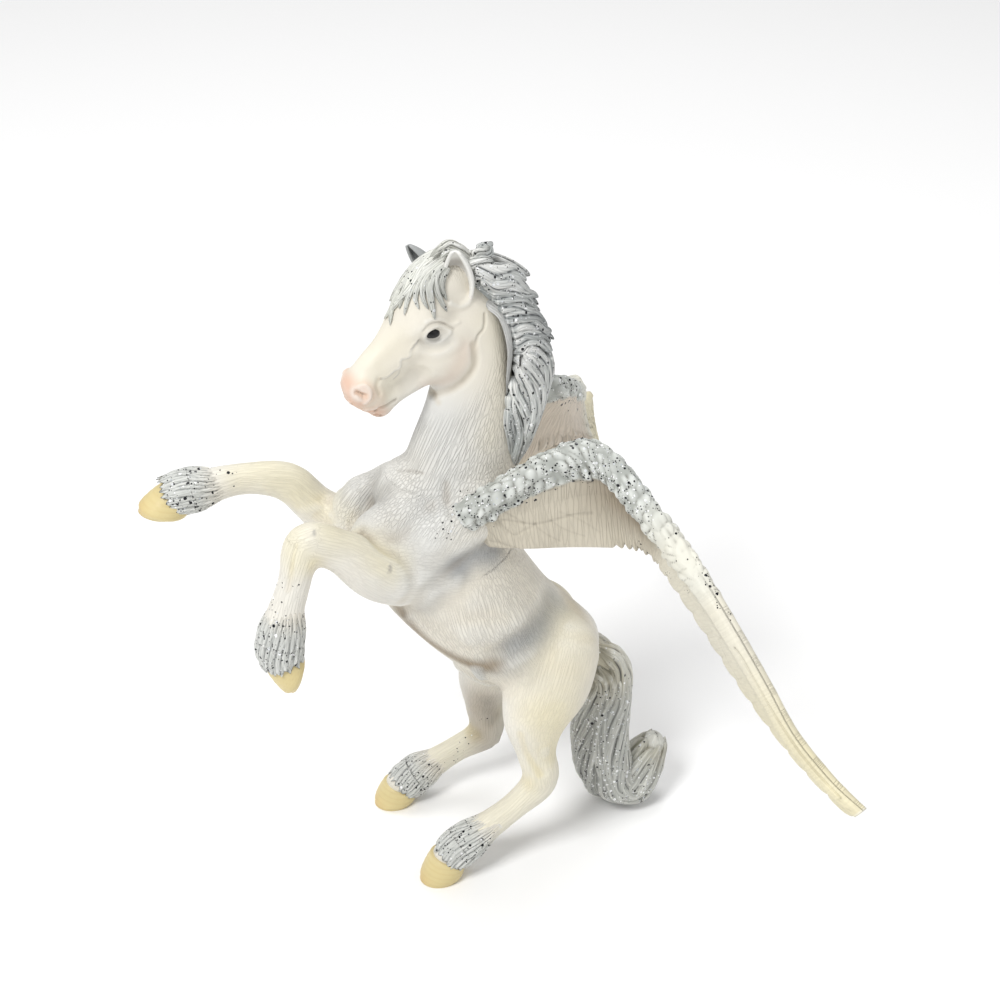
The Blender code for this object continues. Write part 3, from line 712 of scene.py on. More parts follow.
coat = Skin(skin, paints["coat"])
coat.growTree()
mirrored = np.array((1.0, -1.0, 1.0))


def headMirror(path):
    # the same points on the other side of the head's own middle
    gap = (path - np.array(headForm["poll"])) @ asideWay
    return path - 2 * gap[:, None] * asideWay


def farSide(path):
    # the matching path on the far side, of the head or of the body
    onFace = np.linalg.norm(path.mean(axis=0) - headSpot) < 22
    return headMirror(path) if onFace else path * mirrored


traced = [(smoothLine(coat.trace(pixels), 5), *rest) for pixels, *rest in bodyRelief + headRelief]
for path, radius, height, both in traced:
    coat.swell(path, radius, height)
    if both:
        coat.swell(farSide(path), radius, height)
coat.keep()
print("body sculpted")

# Paint: (pixels, radius, colour, strength, also on the far side)
bodyPaint = (
    (((440, 420), (446, 480), (430, 520), (410, 560)), 15.0, "cool", 0.65, True),
    (((395, 470), (415, 490), (420, 510)), 8.0, "cool", 0.25, True),
    (((338, 530), (365, 542), (392, 566)), 7.5, "cream", 0.6, True),
    (((345, 490), (358, 484), (372, 480), (366, 498)), 7.5, "blue", 0.45, True),
    (((462, 566), (476, 556), (492, 552)), 6.0, "blue", 0.7, True),
    (((425, 608), (440, 580), (452, 570)), 5.5, "blue", 0.30, True),
    (((518, 646), (538, 634), (550, 620), (558, 606)), 7.5, "blue", 0.7, True),
    (((535, 640), (549, 622)), 3.5, "blue", 0.35, True),
    (((490, 668), (505, 668), (530, 674)), 7.0, "blue", 0.30, True),
    (((400, 613), (422, 636), (446, 653), (470, 664), (492, 667)), 4.2, "brown", 0.85, False),
    (((477, 668), (481, 676)), 2.3, "silver", 0.7, False),
    (((330, 530), (300, 520), (290, 540), (300, 560)), 8.0, "cream", 0.85, True),
    (((330, 520), (360, 540), (380, 560)), 5.0, "cream", 0.35, True),
    (((240, 475), (265, 470), (290, 480), (305, 500)), 7.0, "cream", 0.75, False),
    (((550, 720), (550, 750), (530, 790), (480, 830)), 11.0, "cream", 0.7, True),
    (((470, 740), (420, 780)), 9.0, "cream", 0.45, False),
    (((475, 720), (480, 700), (490, 745)), 8.0, "brown", 0.75, False),
    (((487, 700), (492, 720), (497, 745)), 3.0, "hollow", 0.45, False),
    # beige painted shade at the edge of the rump
    (((598, 665), (592, 640), (572, 600)), 6.0, "beige", 0.45, True),
    (((578, 630), (565, 670), (556, 710)), 14.0, "cream", 0.45, True),
    (((348, 386), (350, 400), (360, 410), (370, 412)), 3.8, "pink", 0.85, True),
    (((362, 388), (366, 398), (360, 404)), 3.0, "peach", 0.55, True),
    (((372, 392), (380, 400), (376, 410)), 3.0, "pink", 0.4, True),
    (((465, 350), (450, 378), (430, 384)), 4.0, "pink", 0.22, True),
    (((395, 345), (375, 362), (385, 390)), 6.0, "straw", 0.35, True),
    (((484, 318), (500, 350), (500, 400), (490, 440)), 5.0, "straw", 0.3, True),
    # beige painted shade along the jaw line
    (((474, 345), (475, 364), (466, 379), (453, 389), (440, 393), (428, 392)), 1.3, "beige", 0.4, True),
    (fineLines["earFold"], 0.45, "line", 0.65, True),
    (fineLines["vein"], 0.34, "line", 0.75, True),
    (fineLines["veinBranch"], 0.34, "line", 0.6, True),
    (fineLines["lid"], 0.35, "line", 0.28, True),
    (((427, 338), (430, 341), (435, 342), (440, 340)), 0.5, "line", 0.4, True),
    (((428, 341), (446, 338)), 3.0, "silver", 0.35, True),
    (((396, 400), (386, 406), (376, 410), (366, 413)), 0.5, "hollow", 0.7, True),
    (fineLines["noseFold"], 0.5, "beige", 0.6, True),
    # painted shade in the nostril's hole
    (fineLines["nostril"], 0.9, "hollow", 0.75, True),
    (((314, 531), (314, 535)), 0.6, "line", 0.8, False),
    (((390, 566), (390, 571)), 0.6, "line", 0.8, False),
    (fineLines["seam"], 0.4, "line", 0.35, False),
)
for pixels, radius, colour, strength, both in bodyPaint:
    path = smoothLine(coat.trace(pixels), 4)
    coat.colour(path, radius, paints[colour], strength)
    if both:
        coat.colour(farSide(path), radius, paints[colour], strength)


# Strokes of the coat: steps along a limb, lean on the trunk, how sharply limbs part, bare rim of the head
strokePlan = {"steps": 60, "tilt": -18.0, "parting": 6.0, "bare": (15, 20), "legsWeaker": 0.45}


def followLine(points, line, tilt):
    # how far along a limb each point lies and where round it, so engraved strokes run down the limb;
    # also how far from the limb's middle it is, as a share of the limb's own size
    steps = strokePlan["steps"]
    centre = resample(line[:, :3], steps)
    tangent = unit(np.gradient(centre, axis=0))
    gaps = np.linalg.norm(points[:, None, :] - centre[None], axis=2)
    nearest = gaps.argmin(axis=1)
    offset = points - centre[nearest]
    way = tangent[nearest]
    step = np.linalg.norm(np.diff(centre, axis=0), axis=1).mean()
    along = nearest * step + np.sum(offset * way, axis=1)
    across = np.array((0, 1.0, 0)) - way * way[:, 1:2]
    across = unit(across)
    deepWay = np.cross(way, across)
    deep, wide = np.sum(offset * deepWay, axis=1), np.sum(offset * across, axis=1)
    lean = np.radians(tilt)
    down, over = deep * np.cos(lean) - along * np.sin(lean), deep * np.sin(lean) + along * np.cos(lean)
    girth = (line[:, 3] + line[:, 4]) / 2
    size = np.interp(np.linspace(0, 1, steps), np.linspace(0, 1, len(line)), girth)
    thin, long = paintLook["strokeWidth"], paintLook["strokeLength"]
    return np.column_stack([wide / thin, down / thin, over / long]), gaps.min(axis=1) / size[nearest]


def strokeFields():
    spine = np.vstack([np.array(bodyForms["trunk"])[:5], np.array(bodyForms["neck"])[1:]])
    flowBody, nearBody = followLine(coat.points, spine, strokePlan["tilt"])
    beyond = coat.points[:, 1] > 0
    flows, gaps = [], []
    for limb, keys in (("fore", ("nearFore", "farFore")), ("hind", ("nearHind", "farHind"))):
        first, gapFirst = followLine(coat.points, legStations(keys[0], limb, -1), 0.0)
        second, gapSecond = followLine(coat.points, legStations(keys[1], limb, 1), 0.0)
        flows.append(np.where(beyond[:, None], second + 100, first))
        gaps.append(np.where(beyond, gapSecond, gapFirst))
    share = np.exp(-strokePlan["parting"] * np.column_stack([nearBody, gaps[0], gaps[1]]))
    share /= share.sum(axis=1, keepdims=True)
    note(skin, "flowBody", flowBody)
    note(skin, "flowFore", flows[0])
    note(skin, "flowHind", flows[1])
    note(skin, "strokeMix", share)
    return share[:, 1:].sum(axis=1)


# Washes and painted light on the coat: dark wash and painted shade in the fine dips, painted brown shade in
# the wide dips, a painted white highlight on the wide ridges; how strong, and the depth of dip or ridge
# where each starts and is full
coatWashShadeAndHighlight = {"line": (0.40, 0.04, 0.24), "brown": (0.30, 0.04, 0.45), "white": (0.35, 0.02, 0.30)}
# Glitter: (pixels, radius, dark flakes, silver flakes)
bodyFlecks = (
    (((275, 590), (270, 620), (268, 640)), 5.5, 0.24, 0.06),
    (((292, 590), (285, 615)), 4.0, 0.10, 0.03),
    (((545, 800), (520, 822), (495, 845), (470, 865)), 3.2, 0.28, 0.03),
    (((560, 780), (548, 800)), 1.6, 0.10, 0.0),
    (((462, 762), (440, 775), (425, 790)), 3.2, 0.18, 0.05),
    (((240, 470), (225, 480)), 4.5, 0.14, 0.04),
    (((456, 498), (448, 515), (444, 532)), 3.2, 0.20, 0.10),
)
onLegs = strokeFields()
fromHead = np.linalg.norm(coat.points - headSpot, axis=1)
coat.strokes = ramp(fromHead, *strokePlan["bare"]) * (1 - strokePlan["legsWeaker"] * onLegs)
wideDips = broadHollows(skin, 40)
# dark wash and painted shade in the fine dips, painted brown shade in the wide dips, painted white
# highlight on the wide ridges
for colour, dips in (("line", hollows(skin)), ("brown", wideDips), ("white", -wideDips)):
    strength, start, full = coatWashShadeAndHighlight[colour]
    coat.blend(strength * ramp(dips, start, full), paints[colour])
for pixels, radius, dark, bright in bodyFlecks:
    coat.sprinkle(coat.trace(pixels), radius, dark, bright)
coat.store()
addPiece("body", skin, paintedFinish("painted_coat", strokes=True))

# Eyes
eyeShape = {"place": (11.9, -2.9, 5.0), "radii": (1.9, 1.15, 1.35), "tilt": 56.0, "rows": 20, "around": 32,
            "roughness": 0.32}


def makeEyes():
    lean = np.radians(eyeShape["tilt"])
    long = noseWay * np.cos(lean) + browWay * np.sin(lean)
    axes = (long, np.cross(asideWay, long), asideWay)
    middles = onHead(np.array(eyeShape["place"]) * ((1, 1, -1), (1, 1, 1)))
    size = eyeShape["radii"], eyeShape["rows"], eyeShape["around"]
    mesh, _ = gridMesh("eyes", [egg(middle, axes, *size) for middle in middles])
    note(mesh, "paint", np.tile(paints["black"], (len(mesh.vertices), 1)), colour=True)
    addPiece("eyes", mesh, paintedFinish("eye_gloss", roughness=eyeShape["roughness"], glitter=False))


makeEyes()

# Ears: (base, tip, opening direction, half width)
earShape = {"near": ((3.1, -3.1, 137.0), (1.3, -6.4, 150.4), (-0.46, -0.86, 0.15), 3.1),
            "far": ((-1.2, 4.8, 139.5), (-4.9, 6.0, 147.0), (-0.75, -0.1, 0.5), 2.7),
            "rows": 40, "around": 64, "wall": 0.8, "sweep": 104.0, "cup": 0.75, "bow": -0.5,
            # paint of the ear and of its hollow (the far ear silver as painted shade, both hollows darkened
            # as painted shade), and the pink reach round the near ear's base
            "paints": (("near", "white", "hollow"), ("far", "silver", "shadow")), "pinkReach": 6.0}


def earGrid(base, tip, opening, width):
    # cupped leaf: an arc along the outer wall and back along the hollow; its half width is the ear's
    # times sin(pi (0.12 + 0.80 t^0.95))^0.8 from base to tip
    base, tip, opening = (np.array(v, float) for v in (base, tip, opening))
    t = np.linspace(0, 1, earShape["rows"])[:, None]
    axis = unit(tip - base)
    front = unit(opening - (opening @ axis) * axis)
    aside = np.cross(axis, front)
    half = width * np.sin(np.pi * (0.12 + 0.80 * t[:, 0] ** 0.95)) ** 0.8
    centre = base + (tip - base) * t + front * (np.sin(np.pi * t) * earShape["bow"])
    sweep = np.radians(np.linspace(-earShape["sweep"], earShape["sweep"], earShape["around"] // 2))
    arc = -np.cos(sweep)[None, :, None] * front * earShape["cup"] + np.sin(sweep)[None, :, None] * aside
    outer = arc * half[:, None, None]
    inner = arc[:, ::-1] * np.maximum(half - earShape["wall"], half * 0.3)[:, None, None]
    return centre[:, None, :] + np.concatenate([outer, inner], axis=1)


def makeEars():
    mesh, starts = gridMesh("ears", [earGrid(*earShape[key]) for key, _, _ in earShape["paints"]])
    ears = Skin(mesh, paints["coat"], starts)
    inside = np.zeros((earShape["rows"], earShape["around"]))
    inside[:, earShape["around"] // 2 + 3:-3] = 1.0
    depth = np.tile(np.concatenate([inside.ravel(), (0, 0)]), 2)
    for k, (key, colour, dark) in enumerate(earShape["paints"]):
        base, tip = (np.array(v, float) for v in earShape[key][:2])
        line = np.array((base, base + (tip - base) * 0.7))
        middle = 1 - ramp(pathDistance(ears.points, line), 0.8, 2.9)
        # the near ear white, the far ear silver as painted shade
        ears.blend(ears.part(k) * 0.85, paints[colour])
        # the hollow darkened, most along its middle, as painted shade
        ears.blend(ears.part(k) * depth * (0.08 + 0.8 * middle), paints[dark])
    root = np.array((earShape["near"][0],))
    ears.blend((1 - depth) * ears.reach(root, earShape["pinkReach"]) * 0.3, paints["pink"])
    ears.store()
    addPiece("ears", mesh, paintedFinish("painted_ears", glitter=False))


makeEars()

# Hooves: coronet middle, toe and heel of each
hoofShape = {"coronetRadius": 4.0, "breadth": 0.90, "rows": 30, "around": 48, "roughness": 0.42,
             # share of the rings that make the wall, its swelling, its ripples (height, how close)
             "wall": 0.72, "swell": 0.35, "ripples": (0.03, 46), "rim": {"hind": 0.35, "fore": 1.1},
             "toe": tint(216, 176, 106), "heel": tint(200, 160, 100), "stripe": tint(196, 160, 100),
             "feet": {"near_hind": ((-4.2, -14.0, 5.8), (-11.0, -14.0, 0.0), (-1.4, -14.0, 0.0)),
                      "far_hind": ((-8.5, 14.0, 4.6), (-15.0, 14.0, 0.0), (-5.6, 14.0, 0.0)),
                      "near_fore": ((-38.5, -14.0, 68.5), (-37.6, -14.0, 58.6), (-33.6, -14.0, 66.4)),
                      "far_fore": ((-53.5, 14.0, 93.2), (-62.8, 14.0, 90.8), (-53.0, 14.0, 88.2))}}


def hoofGrid(coronet, toe, heel, rimTuck):
    # rings from the coronet to the sole with a rounded lower rim, then in to the middle of the sole
    coronet, toe, heel = (np.array(p, float) for p in (coronet, toe, heel))
    sole, front, side = (toe + heel) / 2, unit(toe - heel), np.array((0, 1.0, 0))
    down = unit(sole - coronet)
    brow = unit(front - (front @ down) * down)
    turn = np.linspace(0, 2 * np.pi, hoofShape["around"], endpoint=False)[None, :, None]
    t = np.linspace(0, 1, hoofShape["rows"])[:, None, None]
    reach = np.linalg.norm(toe - heel) / 2
    top = coronet + hoofShape["coronetRadius"] * (np.cos(turn) * brow + np.sin(turn) * side)
    base = sole + reach * (np.cos(turn) * front + np.sin(turn) * side * hoofShape["breadth"])
    down = np.minimum(t / hoofShape["wall"], 1)
    wall = top + (base - top) * down
    rippleHeight, ripples = hoofShape["ripples"]
    swell = hoofShape["swell"] * np.sin(np.pi * down) + rippleHeight * np.sin(t * ripples)
    wall = wall + unit(wall - (coronet + (sole - coronet) * t)) * swell
    rim = ramp(t, 0.52, 0.74)
    wall = wall - unit(wall - sole) * rim * rimTuck
    inward = ramp(t, 0.74, 1.0) * 0.97
    return wall + (sole - wall) * inward


def makeHooves():
    for name, (coronet, toe, heel) in hoofShape["feet"].items():
        limb = name.split("_")[1]
        mesh, _ = gridMesh("hoof_" + name, [hoofGrid(coronet, toe, heel, hoofShape["rim"][limb])])
        horn = Skin(mesh, paints["hoof"])
        if limb == "hind":
            horn.points[:, 2] = np.maximum(horn.points[:, 2], 0.0)
        horn.colour(np.array((toe,)), 5.5, hoofShape["toe"], 0.45)
        horn.colour(np.array((heel,)), 4.0, hoofShape["heel"], 0.35)
        horn.colour(np.array((coronet,)), 5.2, paints["straw"], 0.55)
        bands = ramp(np.sin(horn.points[:, 2] * 5.0 + horn.points[:, 0]), 0.2, 1.0)
        horn.blend(0.12 * bands, hoofShape["stripe"])
        horn.store()
        finish = paintedFinish("painted_horn_" + name, roughness=hoofShape["roughness"], glitter=False)
        addPiece("hoof_" + name, mesh, finish)


makeHooves()
print("hooves and ears made")


def lockGrid(path, width, thick, outward, seed, grooves=5, rows=70, around=30,
             twist=0.0, wave=0.0, cut=0.15, blunt=2.6):
    # one lock of hair: a flat tube whose radius is cut by grooves that drift round it, tapering to its tip
    line = resample(smoothLine(path, 10), rows)
    t = np.linspace(0, 1, rows)
    tangent = unit(np.gradient(line, axis=0))
    outward = np.broadcast_to(np.asarray(outward, float), line.shape)
    out = unit(outward - np.sum(outward * tangent, axis=1, keepdims=True) * tangent)
    side = np.cross(tangent, out)
    if wave:
        line = line + side * (wave * np.sin(t * 9 + seed) * t)[:, None]
    lean = twist * t
    first = out * np.cos(lean)[:, None] + side * np.sin(lean)[:, None]
    second = side * np.cos(lean)[:, None] - out * np.sin(lean)[:, None]
    taper = np.minimum(1, (t / 0.10 + 0.25)) * np.sqrt(np.maximum(1 - t ** blunt, 0.004))
    phi = np.linspace(0, 2 * np.pi, around, endpoint=False)
    drift = seed * 2.3 + 0.8 * np.sin(t * 5 + seed)[:, None]
    groove = np.abs(np.sin(phi[None, :] * grooves / 2 + drift))
    radius = 1 - cut * (1 - groove) ** 1.6 - cut * 0.3 * np.sin(phi * 3 + seed + t[:, None] * 4)
    return (line[:, None, :]
            + first[:, None, :] * (thick * taper[:, None] * radius * np.cos(phi)[None, :])[..., None]
            + second[:, None, :] * (width * taper[:, None] * radius * np.sin(phi)[None, :])[..., None])


def strandFlow(rings, number, fine=0.62, long=4.5):
    # engraved hairs: round the lock at a fine step, along it at a long one, a different set in every lock
    middle = rings.mean(axis=1)
    run = np.concatenate([[0], np.cumsum(np.linalg.norm(np.diff(middle, axis=0), axis=1))])
    girth = np.linalg.norm(rings - middle[:, None, :], axis=2).max()
    phi = np.linspace(0, 2 * np.pi, rings.shape[1], endpoint=False)[None, :]
    along = run[:, None] / long + number * 7.0
    around = np.cos(phi) * girth / fine, np.sin(phi) * girth / fine
    flow = np.stack(np.broadcast_arrays(*around, along), axis=-1)
    return np.concatenate([flow.reshape(-1, 3), flow[:1].mean(axis=1), flow[-1:].mean(axis=1)])


# How every piece of hair is painted: lighter and darker locks, white dry brush and painted highlight on
# ridges, dark wash and painted shade in grooves
hairLook = {"lockShade": 0.28, "ridgeHighlight": 0.85, "ridgeFrom": (0.02, 0.20), "grooveFrom": (0.01, 0.14),
            "roughness": 0.4}


def hairPiece(name, grids, tones, glitter, extra, depth=1.0, strands=1.0):
    # tones: the base paint, the white of the dry brush and painted highlight on the ridges, and the dark of
    # the wash and painted shade in the grooves;
    # extra: what this piece of hair paints for itself
    base, ridgeHighlight, groove = tones
    mesh, starts = gridMesh(name, grids)
    hair = Skin(mesh, base, starts)
    hair.glitter[:, :2] = glitter
    extra(hair)
    for k in range(len(grids)):
        # some locks a little whiter, some a little darker
        tone = np.sin(k * 12.9)
        hair.blend(hair.part(k) * abs(tone) * hairLook["lockShade"], ridgeHighlight if tone > 0 else groove)
    # white dry brush and painted highlight on the ridges, dark wash and painted shade in the grooves
    grooveDepth = hollows(mesh, 1)
    hair.blend(ramp(-grooveDepth, *hairLook["ridgeFrom"]) * hairLook["ridgeHighlight"], ridgeHighlight)
    hair.blend(ramp(grooveDepth, *hairLook["grooveFrom"]) * depth, groove)
    hair.strokes[:] = strands
    note(mesh, "barbs", np.concatenate([strandFlow(rings, k) for k, rings in enumerate(grids)]))
    hair.store()
    addPiece(name, mesh, paintedFinish("painted_" + name, roughness=hairLook["roughness"], barbs=True))


# Mane: locks as the photograph shows them, (pixel x, pixel y, distance across the middle) from root to tip
maneLocks = {
    "upper": (
        (((472, 264, -1), (482, 258, -1), (492, 246, -1)), 1.6, 1.3),
        (((472, 270, -2), (490, 272, -3), (510, 272, -2), (531, 282, -2)), 2.1, 1.6),
        (((480, 284, -3), (496, 281, -4), (514, 281, -3), (530, 290, -2)), 1.7, 1.3),
        (((487, 290, -4), (502, 289, -4), (518, 290, -3), (535, 297, -1)), 1.5, 1.2),
        (((492, 299, -4), (508, 297, -4), (523, 299, -3), (538, 306, -1)), 1.5, 1.2),
        (((497, 308, -4), (512, 306, -4), (527, 308, -3), (541, 314, -1)), 1.5, 1.2),
        (((501, 316, -4), (517, 314, -4), (531, 316, -3), (546, 323, -1)), 1.5, 1.2),
        (((506, 325, -4), (521, 322, -4), (535, 325, -3), (549, 332, -1)), 1.6, 1.3),
        (((509, 334, -4), (524, 331, -4), (538, 334, -3), (552, 341, -1)), 1.6, 1.3),
        (((511, 343, -4), (527, 340, -4), (541, 343, -3), (555, 352, -1)), 1.7, 1.4),
    ),
    "hanging": (
        (((513, 352, -4), (530, 350, -4), (543, 362, -3), (546, 380, -3), (541, 400, -3), (533, 424, -3)),
         1.7, 1.3),
        (((513, 358, -4), (526, 360, -5), (538, 376, -4), (542, 396, -4), (536, 420, -4), (527, 446, -4)),
         1.6, 1.4),
        (((512, 366, -4), (521, 372, -5), (531, 390, -5), (535, 410, -5), (529, 436, -5), (519, 464, -4)),
         1.6, 1.4),
        (((512, 376, -4), (515, 388, -5), (523, 404, -5), (528, 422, -5), (523, 446, -5), (515, 468, -4)),
         1.6, 1.4),
        (((511, 390, -4), (511, 404, -5), (516, 420, -5), (519, 436, -5), (515, 456, -5), (511, 470, -4)),
         1.4, 1.2),
        (((509, 404, -4), (508, 420, -5), (511, 436, -5), (511, 454, -5), (507, 470, -4)), 1.2, 1.0),
        (((546, 350, -1), (549, 368, -1), (545, 390, -1), (538, 410, -2), (530, 432, -2)), 1.5, 1.3),
    ),
    # a smooth strap between the neck and the hair
    "strap": (
        (((484, 300, -3), (499, 312, -4), (507, 330, -5), (510, 352, -5), (508, 378, -5), (507, 396, -4)),
         1.1, 0.7),
    ),
}


maneShape = {"core": ((6.0, 0, 142.0, 2.6, 3.0), (11.4, 0, 137.8, 3.2, 3.6), (15.6, 0, 131.5, 3.5, 3.8),
                      (17.6, 0, 125.0, 3.5, 3.8), (17.4, 0, 118.0, 3.0, 3.6), (16.2, 0, 110.0, 2.1, 3.0),
                      (15.0, 0, 102.5, 1.3, 2.0)),
             "seedStep": 1.37, "silver": tint(158, 164, 166), "pale": tint(206, 212, 210)}


def makeMane():
    neck = np.array(bodyForms["neck"])
    spine = smoothLine(neck[:, :3], 8)

    def outward(path):
        middle = path.mean(axis=0)
        nearest = spine[np.linalg.norm(spine - middle, axis=1).argmin()]
        return unit(middle - nearest)

    grids, seed, straps = [form(maneShape["core"], around=48)], 1.0, []
    for group, locks in maneLocks.items():
        for pixels, width, thick in locks:
            path = fromPhoto(pixels)
            for sign in (1, -1):
                side = path * np.array((1, sign, 1))
                if group == "strap":
                    straps.append(len(grids))
                    style = {"cut": 0.0, "blunt": 1.6}
                    breadth, depth = width * 1.3, thick * 0.7
                else:
                    side[-1] += (side[-1] - side[-2]) * 0.22 * np.sin(seed * 2.9)
                    style = {"twist": 0.5 * sign, "wave": 0.55, "cut": 0.2, "blunt": 1.9}
                    breadth, depth = width * (1.12 + 0.25 * np.sin(seed * 4.1)), thick
                grids.append(lockGrid(side, breadth, depth, outward(side), seed, **style))
                seed += maneShape["seedStep"]

    def tones(hair):
        # silver above, whiter below, and the straps white without glitter
        hair.blend(ramp(hair.points[:, 2], 112, 128) * 0.5, maneShape["silver"])
        hair.blend(ramp(hair.points[:, 2], 124, 108) * 0.45, maneShape["pale"])
        for k in straps:
            hair.blend(hair.part(k), paints["white"] * 0.92)
            hair.glitter *= (1 - hair.part(k))[:, None]

    # white is the dry brush and painted highlight on the ridges, shadow the wash and painted shade in the
    # grooves
    hairPiece("mane", grids, (paints["hair"], paints["white"], paints["shadow"]), (0.18, 0.42), tones)


makeMane()
print("mane made")

# Forelock: (pixels on the forehead, half width), lying on the skin, and tufts standing free of it
forelockLocks = {
    "lying": (
        (((452, 249), (438, 258), (420, 268), (406, 281), (398, 296), (393, 311), (391, 325)), 1.15),
        (((450, 252), (433, 263), (416, 275), (406, 291), (400, 309)), 0.95),
        (((449, 255), (431, 268), (416, 283), (409, 298), (405, 315)), 0.85),
        (((448, 258), (429, 273), (419, 287), (416, 298), (419, 309)), 0.8),
        (((447, 261), (432, 273), (424, 286), (423, 298), (428, 309)), 0.75),
        (((447, 263), (435, 275), (430, 288), (431, 301), (434, 319)), 0.85),
        (((448, 265), (438, 277), (437, 290), (441, 302), (446, 311)), 0.75),
        (((449, 267), (443, 278), (442, 289), (446, 300)), 0.65),
    ),
    "free": (
        (((468, 260, 0), (458, 248, -1), (449, 244, -1), (440, 249, -2), (430, 257, -3)), 1.5, 1.1),
        (((470, 262, -1), (462, 251, 1), (453, 246, 1), (445, 248, 2), (436, 254, 2)), 1.6, 1.2),
        (((466, 264, -2), (456, 254, -3), (447, 252, -4), (440, 258, -4)), 1.3, 1.0),
        (((464, 258, 0), (474, 256, 0), (484, 250, -1), (490, 246, -1)), 1.7, 1.4),
        (((468, 266, -2), (478, 262, -2), (486, 260, -2), (494, 262, -2)), 1.5, 1.3),
    ),
}


def makeForelock():
    grids, seed = [], 3.0
    brow = onHead((8.0, -6.0, 0.0))[0]
    for pixels, width in forelockLocks["lying"]:
        near = coat.trace(pixels, 0.35)
        for path in (near, headMirror(near)):
            out = unit(path.mean(axis=0) - brow)
            grids.append(lockGrid(path, width, 0.8, out, seed, grooves=4, cut=0.16))
            seed += 2.1
    for pixels, width, thick in forelockLocks["free"]:
        path = fromPhoto(pixels)
        grids.append(lockGrid(path, width, thick, unit(path.mean(axis=0) - brow), seed, cut=0.2, blunt=1.6))
        seed += 2.1

    def tones(hair):
        # greyer towards both sides and the neck, cream on the tuft
        side = (hair.points - np.array(headForm["poll"])) @ asideWay
        hair.blend(ramp(np.abs(side), 2.0, 5.0) * 0.3, paints["silver"])
        hair.blend(ramp(hair.points[:, 0], 3.0, 7.0) * 0.6, paints["silver"])
        hair.colour(fromPhoto(((452, 246, 0), (462, 252, 0))), 3.0, paints["straw"], 0.7)

    # base paint, white dry brush and painted highlight for the ridges, dark wash and painted shade for the
    # grooves
    hues = (tint(230, 231, 220), paints["white"], tint(96, 96, 90))
    hairPiece("forelock", grids, hues, (0.16, 0.08), tones, depth=0.9)


makeForelock()
print("forelock made")

# Tail: (x, y, z, half depth, half width), and the locks wound round it
tailShape = {"core": ((30.0, 0, 47.0, 4.2, 4.2), (37.0, 0, 40.0, 3.8, 4.4), (36.5, 0, 30.0, 4.6, 5.2),
                      (36.0, 0, 19.0, 5.0, 6.0), (38.5, 0, 8.5, 4.8, 6.0), (43.0, 0, 6.0, 4.4, 5.6),
                      (48.0, 0, 9.0, 3.8, 4.8), (49.5, 0, 15.0, 2.4, 3.2)),
             "steps": 90, "locks": 26, "lockSteps": 9, "lockWidth": 1.7, "lockThick": 1.7, "wind": 1.1,
             "root": tint(206, 200, 178), "tip": tint(214, 210, 192), "curl": tint(222, 222, 212)}


def makeTail():
    core = np.array(tailShape["core"])
    steps, knots = tailShape["steps"], tailShape["lockSteps"]
    line = resample(smoothLine(core, 10), steps)
    tangent = unit(np.gradient(line[:, :3], axis=0))
    across = np.tile((0, 1.0, 0), (len(line), 1))
    upward = np.cross(tangent, across)
    grids = [form(core, around=48)]
    count = tailShape["locks"]
    for k in range(count):
        angle = 2 * np.pi * k / count + rng.uniform(-0.1, 0.1)
        start, end = int(rng.uniform(0, 14)), int(rng.uniform(76, 89))
        pick = np.linspace(start, end, knots).astype(int)
        t = np.linspace(0, 1, knots)
        phi = angle + tailShape["wind"] * t + 0.25 * np.sin(t * 7 + k)
        spot = (line[pick, :3] + across[pick] * (np.cos(phi) * line[pick, 4])[:, None]
                + upward[pick] * (np.sin(phi) * line[pick, 3])[:, None])
        if k % 2 == 0:
            tip = line[-1, :3] + across[-1] * np.cos(phi[-1]) * 3.2 + upward[-1] * np.sin(phi[-1]) * 2.6
            spot = np.vstack([spot[:-1], tip + tangent[-1] * rng.uniform(0.5, 2.2)])
        out = unit(spot - line[pick, :3])
        outFull = resample(np.column_stack([smoothLine(spot, 10), smoothLine(out, 10)]), steps)[:, 3:]
        grids.append(lockGrid(spot, tailShape["lockWidth"], tailShape["lockThick"], outFull, k * 1.7,
                              rows=steps, around=26, cut=0.22, blunt=9.0))

    def tones(hair):
        # cream at the root and at the splayed tip, silver with glitter between
        top = ramp(hair.points[:, 2], 31, 41)
        hair.blend(top, tailShape["root"])
        tip = ramp(np.linalg.norm(hair.points - line[-1, :3], axis=1), 9, 3)
        hair.blend(tip, tailShape["tip"])
        hair.blend(ramp(hair.points[:, 0], 38, 44) * (1 - tip) * 0.45, tailShape["curl"])
        middle = 1 - np.maximum(top, tip)
        hair.glitter[:, 0] = 0.05 + 0.08 * middle
        hair.glitter[:, 1] = 0.04 + 0.42 * middle
        hair.points[:, 2] = np.maximum(hair.points[:, 2], 0.0)

    # base paint, white dry brush and painted highlight for the ridges, dark wash and painted shade for the
    # grooves
    hues = (tint(186, 188, 182), tint(244, 244, 236), tint(50, 52, 52))
    hairPiece("tail", grids, hues, (0.1, 0.4), tones)


makeTail()
print("tail made")

